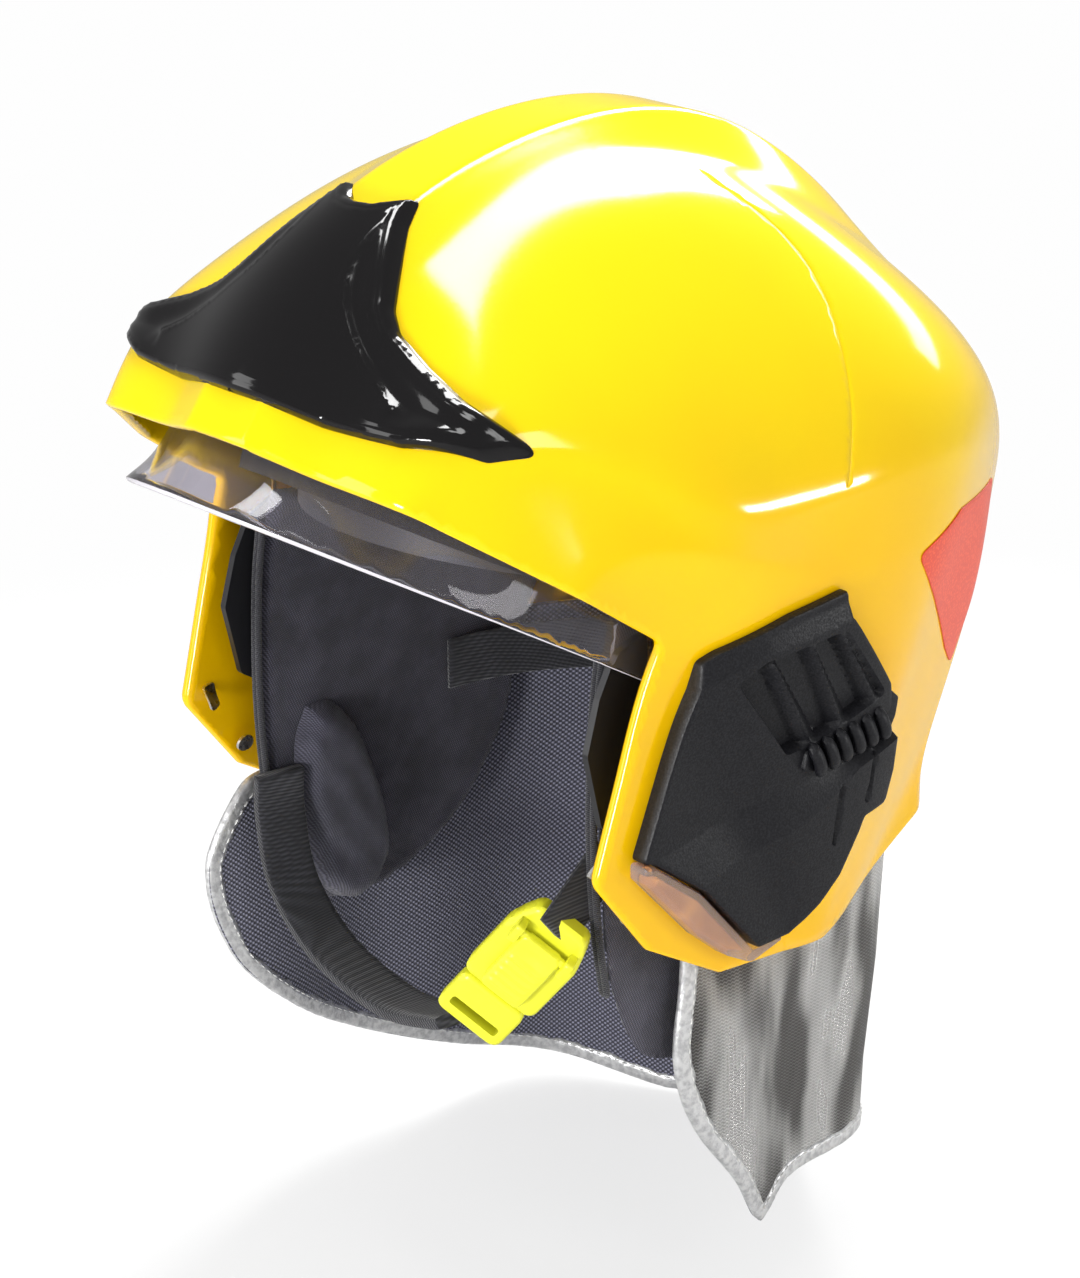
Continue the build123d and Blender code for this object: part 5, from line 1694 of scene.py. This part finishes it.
# A point of the cloth for a share round it, -1 to 1, and a height
def curtainPoint(share, z, grow):
    share, z = np.broadcast_arrays(np.asarray(share, float), np.asarray(z, float))
    half, rear, fold = (np.interp(z, levelTable[:, 0], levelTable[:, k]) for k in (1, 2, 3))
    side = np.where(share > 0, 1, -1)
    size = np.abs(share)
    out = grow + fold * np.cos(share * curtain["folds"] * 2 * pi)
    run = (size - curtain["rearShare"]) / (1 - curtain["rearShare"])
    straightY = curtain["turnY"] - run * (curtain["turnY"] - curtain["front"])
    turn = np.clip(size / curtain["rearShare"], 0, 1) * pi / 2
    rounded = size <= curtain["rearShare"]
    x = np.where(rounded, side * (half + out) * np.sin(turn), side * (half + out))
    y = np.where(rounded, curtain["turnY"] + (rear - curtain["turnY"] + out) * np.cos(turn), straightY)
    return np.stack([x, y, z], -1)


# The share where the side of the cloth passes a given depth
def shareAt(y, side, z):
    rear = np.interp(z, levelTable[:, 0], levelTable[:, 2])
    run = (curtain["turnY"] - y) / (curtain["turnY"] - curtain["front"])
    flat = curtain["rearShare"] + run * (1 - curtain["rearShare"])
    turned = np.arccos(np.clip((y - curtain["turnY"]) / (rear - curtain["turnY"]), -1, 1))
    bent = turned / (pi / 2) * curtain["rearShare"]
    return side * (flat if y <= curtain["turnY"] else bent)


girth = 278.0  # millimetres of cloth for a share of one


def curtainBorder():
    left = curveThrough([(-44, -81), (-44, -110)] + curtain["left"], 2.4)
    right = curveThrough(curtain["right"], 2.4)
    border = [(shareAt(y, 1, z), z) for y, z in left]
    rearShares = np.linspace(border[-1][0], shareAt(right[-1][0], -1, right[-1][1]), 70)[1:-1]
    rearHeights = np.interp(rearShares[::-1], [rearShares[-1], rearShares[0]],
                            [right[-1][1], left[-1][1]])[::-1]
    border += [(s, z) for s, z in zip(rearShares, rearHeights)]
    border += [(shareAt(y, -1, z), z) for y, z in right[::-1]]
    start, end = border[-1][0], border[0][0]
    border += [(s, curtain["top"]) for s in np.linspace(start, end, 180)[1:-1]]
    return np.array(border) * (girth, 1)


border = curtainBorder()
border = evenSteps(border, 2.2)
flat, faces = filledOutline(border, curtain["stepAcross"])
noiseTable = np.random.default_rng(7).normal(size=(6, 4))


# Small uneven waves that cloth takes as it hangs
def ripple(flat):
    total = np.zeros(len(flat))
    for a, b, c, e in noiseTable:
        phase = flat[:, 0] * (0.045 + 0.03 * abs(a)) + flat[:, 1] * 0.05 * b + c * 3
        total += np.sin(phase) * (0.4 + 0.2 * e)
    return total / 3


# The waves of the cloth, which fade out towards the shell
def waves(spots):
    return curtain["wrinkle"] * ripple(spots) * np.clip((-115 - spots[:, 1]) / 60, 0, 1)


wave = waves(flat)


def clothAt(grow):
    return curtainPoint(flat[:, 0] / girth, flat[:, 1], grow + wave)


outer = clothAt(0)
outNormal = pointNormals(outer, faces)
middle = np.array([0, 20, -150])
if np.mean(np.sum(outNormal * (outer - middle), 1)) < 0:
    faces = faces[:, ::-1]
    outNormal = -outNormal


# Keeps the cloth's own flat coordinates, in millimetres, as a named attribute
def withFlatMap(piece, points2d, count):
    data = piece.data.attributes.new("clothFlat", "FLOAT_VECTOR", "POINT")
    values = np.zeros((len(piece.data.vertices), 3), np.float32)
    for k in range(len(values) // count):
        values[k * count:(k + 1) * count, :2] = points2d
    rest = len(values) - len(values) // count * count
    if rest:
        lookup = np.array([v.co for v in piece.data.vertices]) / mm
        for i in range(len(values) - rest, len(values)):
            near = int(np.argmin(np.sum((lookup[:count] - lookup[i]) ** 2, 1)))
            values[i, :2] = points2d[near]
    data.data.foreach_set("vector", values.ravel())


outerPiece = newPiece("curtainOuter", *walled(outer, faces, curtain["wall"], 0.05, 1, outNormal),
                      slot="curtain_silver")
withFlatMap(outerPiece, flat, len(flat))
silverCloth.on(outerPiece)
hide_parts("curtain_outer")
lining = outer - outNormal * (curtain["wall"] + curtain["gap"])
liningPiece = newPiece("curtainLining", *walled(lining, faces, curtain["wall"], 0.05, 1, outNormal),
                       slot="curtain_grey")
withFlatMap(liningPiece, flat, len(flat))
greyCloth.on(liningPiece)
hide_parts("curtain_lining")

# the silver binding folded over the free edge
first = next(i for i in range(len(border)) if border[i][1] < curtain["top"] - 0.2)
order = [(first + i) % len(border) for i in range(len(border))]
edgeLine = []
for i in order:
    if border[i][1] > curtain["top"] - 0.1:
        break
    edgeLine.append(border[i])
edgeLine = np.array(edgeLine)
edgeLine = evenSteps(edgeLine, 1.6, False)
tangent = np.gradient(edgeLine, axis=0)
tangent /= np.hypot(*tangent.T)[:, None]
inwardFlat = np.stack([tangent[:, 1], -tangent[:, 0]], 1)
probe = edgeLine + inwardFlat * 2
if insideOutline(border, probe).mean() < 0.5:
    inwardFlat = -inwardFlat
for _ in range(10):
    inwardFlat[1:-1] = (inwardFlat[:-2] + inwardFlat[1:-1] * 2 + inwardFlat[2:]) / 4
inwardFlat /= np.hypot(*inwardFlat.T)[:, None]
crumple = np.random.default_rng(11).normal(size=(len(edgeLine), 4))
for _ in range(2):
    crumple[1:-1] = (crumple[:-2] + crumple[1:-1] * 2 + crumple[2:]) / 4
full = 2 * curtain["wall"] + curtain["gap"]
profile = [(curtain["hem"], 0.0, 0.12), (curtain["hem"] - 1.4, 0.0, 0.5), (3.2, 0.0, 0.62),
           (2.2, 0.0, 0.42), (0.6, 0.0, 0.6),
           (-0.45, 0.3, 0.3), (-0.7, 0.7, 0.0), (-0.45, 1.1, -0.3), (0.6, 1.4, -0.6), (2.2, 1.4, -0.42),
           (3.2, 1.4, -0.62), (curtain["hem"] - 1.4, 1.4, -0.5), (curtain["hem"], 1.4, -0.12)]


# Points near the edge for places on the flat cloth
def edgePoints(where, grow):
    return curtainPoint(where[:, 0] / girth, np.minimum(where[:, 1], curtain["top"]), grow + waves(where))


rows = []
for k, (reachIn, depthShare, lift) in enumerate(profile):
    uneven = 1 + 0.12 * crumple[:, k % 4]
    where = edgeLine + inwardFlat * (reachIn * uneven)[:, None]
    depth = full * min(depthShare / 1.4, 1)
    grow = -depth + lift * (1 + 0.25 * crumple[:, (k + 1) % 4])
    rows.append(edgePoints(where, grow))
rows = np.array(rows)
hemFaces = linedFaces(len(profile), rows.shape[1])
hemPiece = newPiece("curtainHem", rows.reshape(-1, 3), hemFaces, slot="hem_silver")
settled(outwardFaces(hemPiece), bindingCloth, "curtain_hem")


# A row of thread stitches laid on a line, each one shaped along it
def stitchPieces(name, line, outward, step, length, radius, material, slotName):
    gaps = np.linalg.norm(np.diff(line, axis=0), axis=1)
    runs = np.concatenate([[0], np.cumsum(gaps)])
    stitchCount = int(runs[-1] // step)
    sets = []
    for k in range(stitchCount):
        at = (k + 0.5) * step
        path, up = [], []
        for t in np.linspace(-0.5, 0.5, 5):
            spot = np.array([np.interp(at + t * length, runs, line[:, a]) for a in range(3)])
            raised = np.array([np.interp(at + t * length, runs, outward[:, a]) for a in range(3)])
            path.append(spot + raised * radius * (1 - 5.2 * t * t) * 0.9)
        sets.append(tube(path, np.array([0.35, 0.9, 1, 0.9, 0.35]) * radius, 6, 1.0, (0.31, 0.52, 0.8)))
    piece = outwardFaces(newPiece(name, *joined(*sets), slot=slotName))
    material.on(piece)
    return piece


# thread along the binding, outside and inside
threads = []
for reachIn, depth, label in ((4.3, 0.0, "Out"), (4.3, full, "In")):
    where = edgeLine + inwardFlat * reachIn
    sign = 1 if depth == 0 else -1
    line = edgePoints(where, -depth + sign * 0.5)
    outward = edgePoints(where, -depth + sign * 1.5) - line
    outward /= np.linalg.norm(outward, axis=1)[:, None]
    threads.append(stitchPieces("hemThread" + label, line, outward, 3.4, 2.4, 0.22, threadWhite,
                                "hem_silver"))

[hemPiece] + threads
print("threads ready")

# Strap that ties the curtain in
tie = {"low": -110.8, "high": -98.2, "front": -39.5, "steps": 130, "inner": 1.0, "outer": 4.5,
       "least": 1.0, "farthest": 45.0}


def tieRing(z):
    shares = np.linspace(shareAt(tie["front"], -1, tie["low"]), shareAt(tie["front"], 1, tie["low"]),
                         tie["steps"])
    inner = curtainPoint(shares, np.full(len(shares), z), tie["inner"])
    ahead = np.gradient(inner, axis=0)
    ahead[:, 2] = 0
    ahead /= np.linalg.norm(ahead, axis=1)[:, None]
    out = np.stack([-ahead[:, 1], ahead[:, 0], np.zeros(len(ahead))], 1)
    if np.mean(np.sum(out * (inner - np.array([0, 20, z])), 1)) < 0:
        out = -out

    def inside(reach):
        spot = inner + out * reach[:, None]
        return shellForm.side(spot[:, 1], spot[:, 2]) - tie["outer"] > np.abs(spot[:, 0])

    reach = edgeOf(inside, np.zeros(len(inner)), np.full(len(inner), tie["farthest"]), 24)
    return inner, inner + out * np.maximum(reach, tie["least"])[:, None]


lowInner, lowOuter = tieRing(tie["low"])
highInner, highOuter = tieRing(tie["high"])
ring = [lowInner, lowInner * 0.5 + highInner * 0.5, highInner, highOuter, lowOuter * 0.5 + highOuter * 0.5,
        lowOuter]
tieFaces = linedFaces(len(ring), tie["steps"])
tiePiece = newPiece("curtainTie", np.vstack(ring), tieFaces, slot="strap_black")
settled(outwardFaces(tiePiece), strapCloth, "curtain_tie")
print("curtain tie ready")

# Pieces that stay as the frame has them
satinBlack.on("visor_carrier_left", "visor_carrier_right", "carrier_screws", "pivot_bolt_left",
              "pivot_bolt_right",
              "ratchet_housing", "ratchet_knob")
bandBlack.on("headband", "nape_cradle")
foamBlack.on("impact_liner")
steel.on("jaw_clip_left", "jaw_clip_right", "jaw_rivets")
